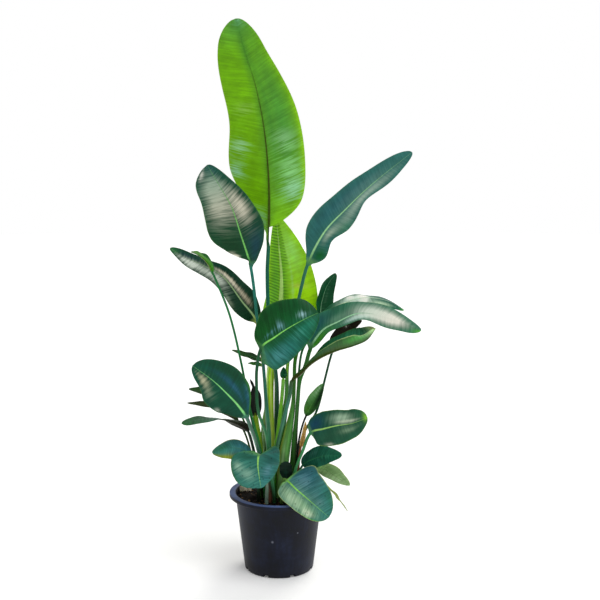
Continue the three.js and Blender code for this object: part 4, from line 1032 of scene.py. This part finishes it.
# Low leaves at the front
# Three old leaves low on the clump: one folded down at the left, a round one whose tip hangs
# over the soil, and a broad one that hangs over the rim and has worn, yellowed edges.
# Painted shade: the stalk is painted near-black just under the rim.
grow_leaf("low_left", mature_blade, seed=20,
    stem=[*foot(-60, -60), (-66, -70, 320)],
    rib=[(-82, -76, 368), (-105, -80, 388), (-140, -86, 396), (-195, -98, 386)],
    face=[(0, -0.75, 0.65), (0, -0.7, 0.7)], left=[14, 26, 35, 35, 27, 16], right=[14, 25, 33, 33, 25, 15],
    fold=(-10, -15), cup=-8, wave=(2, 2, 0), thick=(5, 3.5),
    top=("34787c", "347660"), under="6f8a10", ribs=("2a6a5a", "6f8a2a"), stalk=("2f5f3a", "2a5f44"),
    edge="98a01c", edge_share=0.95,
    stalk_paint=[("0c0d08", 228, 0, 64, 3, 1.0)],
    paint=[("84940f", 0.6, 0.99, 0.5, 0.06, 0.8), ("7c860f", 0.6, -0.85, 0.6, 0.3, 0.95),
        ("1c6238", 0.75, 0.3, 0.2, 0.5, 0.7), ("184a50", 0.3, 0.5, 0.16, 0.4, 0.6)],
    sheen_and_bloom=[("3f8894", 0.3, 0.4, 0.2, 0.3, 0.6)])
grow_leaf("low_front", old_blade, seed=21,
    stem=[*foot(-37, -71), (-36, -84, 305), (-49, -101, 368)],
    rib=[(-58, -114, 381), (-61, -126, 357), (-58, -134, 330), (-52, -140, 291)],
    face=[(0, -1, 0.3), (0, -1, 0.2)], left=[58, 64, 64, 55, 40, 20], right=[70, 80, 80, 76, 66, 50],
    fold=(-4, -4), cup=-14, wave=(3, 2.5, 0.2), lobe=(62, 8), thick=(5.5, 4),
    top=("2a6a5c", "34766a"), ribs="94d060", stalk=("6f8478", "4f8a44"),
    paint=[("1a5048", 0.14, -0.7, 0.22, 0.4, 0.9), ("2c6a70", 0.6, -0.5, 0.3, 0.35, 0.7),
        ("1c4f3c", 0.1, 0.5, 0.06, 0.4, 0.7), ("1c5a34", 0.5, 1.0, 0.4, 0.1, 0.8)],
    sheen_and_bloom=[("8ab29c", 0.55, 0.42, 0.22, 0.35, 0.7), ("9cc0a6", 0.3, 0.75, 0.12, 0.2, 0.6),
        ("7098a4", 0.5, -0.45, 0.2, 0.3, 0.6)])
grow_leaf("over_rim", old_blade, seed=22,
    stem=[*foot(8, -68), (8, -76, 270), (12, -86, 300)],
    rib=[(24, -100, 300), (50, -130, 284), (76, -152, 268), (109, -174, 245), (143, -190, 220)],
    face=[(-0.1, -0.8, 0.6), (-0.1, -0.85, 0.5)], left=[86, 89, 81, 73, 60, 40],
    right=[44, 50, 49, 48, 42, 30], fold=(-2, -2), cup=-10, wave=(3, 2.5, 0.35), lobe=(4, 12),
    thick=(5.5, 4),
    top=("2c6468", "2c6c60"), ribs="86cc50", stalk=("4f6a34", "6fae4a"), edge="b4c46a", edge_share=0.7,
    paint=[("7aa67a", 0.4, 0.55, 0.5, 0.5, 0.9), ("36786e", 0.92, 0.3, 0.1, 0.6, 0.8),
        ("245664", 0.2, -0.6, 0.2, 0.35, 0.7), ("1c5c44", 0.8, -0.8, 0.2, 0.2, 0.7),
        ("2f9a3a", 0.8, 0.98, 0.2, 0.06, 0.8)],
    sheen_and_bloom=[("a4c2a0", 0.3, 0.6, 0.3, 0.5, 0.8), ("bcd0b0", 0.7, 0.7, 0.14, 0.3, 0.75),
        ("7098a4", 0.25, -0.4, 0.25, 0.3, 0.5), ("7aa0a4", 0.7, -0.25, 0.14, 0.25, 0.4)])

# Low leaves at the right
# A dark pointed blade, and behind it two pale ones that hang down with yellow margins.
grow_leaf("pointed_right", mature_blade, seed=23,
    stem=[*foot(30, -30), (50, -28, 281)],
    rib=[(73, -30, 326), (100, -42, 346), (129, -54, 359), (186, -76, 368)],
    face=[(0, -0.7, 0.7), (0, -0.6, 0.8)], left=40, right=34, fold=(4, 0), cup=-8, wave=(2, 2, 0.2),
    thick=(5, 3.5),
    top=("165646", "1a6048"), ribs=("2f7a54", "3f7a44"), stalk=("2a6a4a", "1f5f44"),
    sheen_and_bloom=[("358466", 0.6, 0.1, 0.3, 0.3, 0.6), ("3f6f6a", 0.3, -0.5, 0.2, 0.3, 0.5)])
grow_leaf("pale_right", pale_blade, seed=24,
    stem=[*foot(66, 2), (74, 1, 276)],
    rib=[(109, 8, 306), (137, 16, 300), (175, 28, 272), (218, 40, 238)],
    face=[(0.3, 0.9, 0.4), (0.4, 0.9, 0.3)], left=32, right=30, fold=(4, 0), cup=6, wave=(2, 2, 0),
    thick=(4.5, 3),
    top="5a8a4a", under=("86b06e", "9abf80"), ribs=("6a9a54", "6f9a5a"), stalk=("4f7a3a", "5a8a4a"),
    edge="d0cc74", edge_share=0.9,
    paint_under=[("5a8a48", 0.35, 0.3, 0.15, 0.3, 0.6), ("5f9050", 0.75, 0.4, 0.2, 0.2, 0.5)],
    sheen_and_bloom_under=[("a8cc94", 0.7, -0.3, 0.2, 0.6, 0.8)])
grow_leaf("sliver_right", pale_blade, seed=25,
    stem=[*foot(48, -42), (58, -43, 256), (90, -46, 270)],
    rib=[(125, -54, 278), (150, -64, 264), (172, -72, 242), (204, -84, 200)],
    face=[(0.8, -0.1, 0.6), (0.8, -0.1, 0.5)], left=12, fold=(5, 0), thick=(4, 2.8),
    top=("7a8a3a", "8a9a5a"), under="8a9a4a", ribs=("7a8a4a", "7a8a4a"), stalk=("4f6a34", "6a7a34"),
    edge="a08a4a")

# Leaves at the middle right
# A rounded blade on a straight stalk with a painted cream sheen above its rib, and a small
# upright one.
grow_leaf("middle_right", arched_blade, seed=26,
    stem=[*foot(36, -50), (50, -53, 320), (70, -60, 376)],
    rib=[(95, -72, 437), (130, -88, 452), (169, -108, 467), (213, -130, 480), (254, -150, 501)],
    face=[(0, -0.85, 0.5), (0, -0.8, 0.5)], left=[44, 54, 52, 47, 44, 32], right=[38, 50, 56, 54, 42, 24],
    fold=(2, -4), cup=-8, wave=(3, 2.5, 0.1), thick=(6.5, 4.5),
    top=("14503c", "1f5a3c"), ribs="a4d870", stalk=("3f8a4a", "2c7450"), edge="8fb03a", edge_share=0.6,
    paint=[("123f58", 0.1, -0.4, 0.14, 0.5, 0.9), ("22503a", 0.5, 0.5, 0.6, 0.5, 0.9),
        ("8fcf3a", 0.98, -0.2, 0.05, 0.7, 0.8)],
    sheen_and_bloom=[("9cb89c", 0.55, -0.5, 0.24, 0.35, 0.95), ("c0c8b0", 0.66, -0.16, 0.22, 0.12, 1.0),
        ("7c9c7c", 0.66, 0.35, 0.2, 0.2, 0.8), ("c4c8b4", 0.3, 0.9, 0.1, 0.1, 0.8)])
grow_leaf("small_right", pale_blade, seed=27,
    stem=[*foot(52, -6), (60, -2, 389), (74, 0, 448)],
    rib=[(84, 2, 472), (95, 6, 493), (109, 12, 518), (135, 22, 563)],
    face=[(-0.3, -0.9, 0.1), (-0.3, -0.9, 0.2)], left=21, right=22, fold=(20, 15), cup=4, thick=(4.5, 3),
    top=("3f8038", "5f9a5a"), ribs="4f8a40", stalk=("0c160c", "10240f"),
    paint=[("0a2414", 0.6, 0.6, 0.6, 0.55, 0.98), ("6fa464", 0.7, -0.7, 0.3, 0.4, 0.8),
        ("3a6a14", 0.15, -0.3, 0.15, 0.6, 0.8)],
    sheen_and_bloom=[("9cc498", 0.75, -0.3, 0.2, 0.4, 0.75)])
# Painted shade: this small leaf among the stalks is painted near-black.
grow_leaf("dark_centre", mature_blade, seed=28,
    stem=[*foot(2, -56), (20, -57, 273)],
    rib=[(22, -57, 291), (21, -58, 310), (20, -60, 329), (19, -62, 347)],
    face=[(0, -1, 0.2), (0, -1, 0.3)], left=[8, 14, 18, 19, 18, 13], fold=(6, 4), thick=(4.5, 3),
    top=("041a10", "06281a"), under="0c1f14", ribs=("0a2c20", "0f2f1c"), stalk=("1f3f1c", "14301a"),
    edge="0c3a24",
    sheen_and_bloom=[("1f5440", 0.4, 0.0, 0.2, 0.5, 0.5)])

# New rolled leaf
# The next leaf of the clump, a green quill still rolled tight, just clear of its own stalk.
# Painted light: the stalk is painted pale on one side and darker on the other.
grow_leaf("rolled", mature_blade, seed=30,
    stem=[*foot(-18, -12), (-10, -14, 368), (-2, -12, 429), (8, -8, 511), (13, -6, 569)],
    rib=[(14, -5, 588), (15, -5, 604), (15, -6, 620)],
    face=(0, -1, 0.1), left=13, fold=(35, 35), cup=4, wave=(0, 1, 0), thick=(7, 5.5),
    top=("0a5030", "084428"), under=("0a5030", "084428"), ribs=("146034", "146034"),
    stalk=("3f9a1c", "7fc030"), edge="1f6a34",
    stalk_paint=[("6fb04c", 560, 0, 30, 3, 0.9), ("b8e07a", 480, -1.0, 120, 0.25, 0.7),
        ("3f8a34", 480, 1.0, 140, 0.35, 0.7)],
    sheen_and_bloom=[("2f8a5c", 0.5, 0.5, 0.3, 0.3, 0.6)])

# Dried stalk
# What is left of an old leaf: a tan stalk that has lost its blade, dry, split and fibrous.
dry_sheath = waxy_blade("dried_leaf", "dried leaf fibre", 0.7, 0, 0.3, 1.0)
grow_leaf("dried_stalk", dry_sheath, seed=29, name="dried_stalk_remnant", node="dried_stalk",
    stem=[*foot(54, -18), (62, -17, 359)],
    rib=[(67, -16, 380), (74, -16, 411), (81, -17, 455)],
    face=(0, -1, 0.1), left=[6, 7, 7, 6, 5, 3], fold=(15, 5), thick=(4, 3),
    top=("b8904a", "c09a54"), under="9a7038", ribs=("8a6030", "8a6030"), stalk=("7a4a30", "a8583a"),
    edge=None,
    sheen_and_bloom=[("d8b070", 0.5, 0.3, 0.3, 0.4, 0.7)])

# Floor
# A matt white studio floor that runs out to the horizon and catches the pot's soft shadow.
FLOOR_RADIUS = 14.0
FLOOR_SIDES = 96
FLOOR_DROP = 0.0005


def matt_floor_paint():
    """Matt white paint with a hardly visible roller stipple, and a painted glow that lightens shadows."""
    material, tree, place = new_material("matt floor paint")
    tint = ramp(tree, noise(tree, place, 300, 2), (0.3, 0.88), (0.7, 0.9))
    skin(tree, tint, 0.95, 0.1, Emission_Color=(1, 1, 1, 1), Emission_Strength=0.1)
    return material


def make_floor():
    """One flat round face, just under the pot."""
    mesh = bpy.data.meshes.new("studio_floor")
    mesh.from_pydata(circle(FLOOR_RADIUS, -FLOOR_DROP, FLOOR_SIDES), [], [list(range(FLOOR_SIDES))])
    mesh.materials.append(matt_floor_paint())
    floor = bpy.data.objects.new("studio_floor", mesh)
    bpy.context.scene.collection.objects.link(floor)


make_floor()

# Studio light
# A white room: soft light from all round, a broad soft lamp at the front right, high enough to
# throw the pot's shadow to the left, and one behind that shines through the young leaves.
LIGHT_FROM_ROOM = 0.6


def soft_lamp(name, place, spread, strength, tint):
    """A lamp so far off that the floor is lit evenly; spread is its width in degrees."""
    lamp = bpy.data.lights.new(name, "SUN")
    lamp.angle = math.radians(spread)
    lamp.energy = strength
    lamp.color = linear(tint)[:3]
    holder = bpy.data.objects.new(name, lamp)
    holder.location = place
    holder.rotation_euler = (-Vector(place)).to_track_quat("-Z", "Y").to_euler()
    bpy.context.scene.collection.objects.link(holder)


def white_room():
    """White all round, full to the camera's eye and dimmer as light on the plant."""
    world = bpy.data.worlds.new("studio")
    world.use_nodes = True
    tree = world.node_tree
    tree.nodes.clear()
    seen = add(tree, "ShaderNodeLightPath").outputs["Is Camera Ray"]
    strength = span(tree, seen, 0, 1, LIGHT_FROM_ROOM, 1.0)
    sky = add(tree, "ShaderNodeBackground", {"Color": (1, 1, 1, 1), "Strength": strength})
    add(tree, "ShaderNodeOutputWorld", {"Surface": sky.outputs["Background"]})
    return world


soft_lamp("front_lamp", (1.6, -1.2, 3.2), 40, 1.4, "ffffff")
soft_lamp("back_lamp", (1.2, 2.0, 2.6), 30, 1.3, "fffdf6")
bpy.context.scene.world = white_room()
bpy.context.scene.view_settings.view_transform = "Standard"
bpy.context.scene.view_settings.look = "None"

# Camera
# It stands 3 m in front at chest height, looking a little down and to the right, with the lens
# that shows the pot's rim and foot as the photograph does.
CAMERA_PLACE = (0, -3.0, 1.243)
CAMERA_PITCH_DOWN = 8.0
CAMERA_YAW_RIGHT = 1.222
LENS_MM = 61.38
SENSOR_MM = 36
lens = bpy.data.cameras.new("view_camera")
lens.lens = LENS_MM
lens.sensor_width = SENSOR_MM
camera = bpy.data.objects.new("view_camera", lens)
camera.location = CAMERA_PLACE
camera.rotation_euler = (math.radians(90 - CAMERA_PITCH_DOWN), 0, math.radians(-CAMERA_YAW_RIGHT))
bpy.context.scene.collection.objects.link(camera)
bpy.context.scene.camera = camera
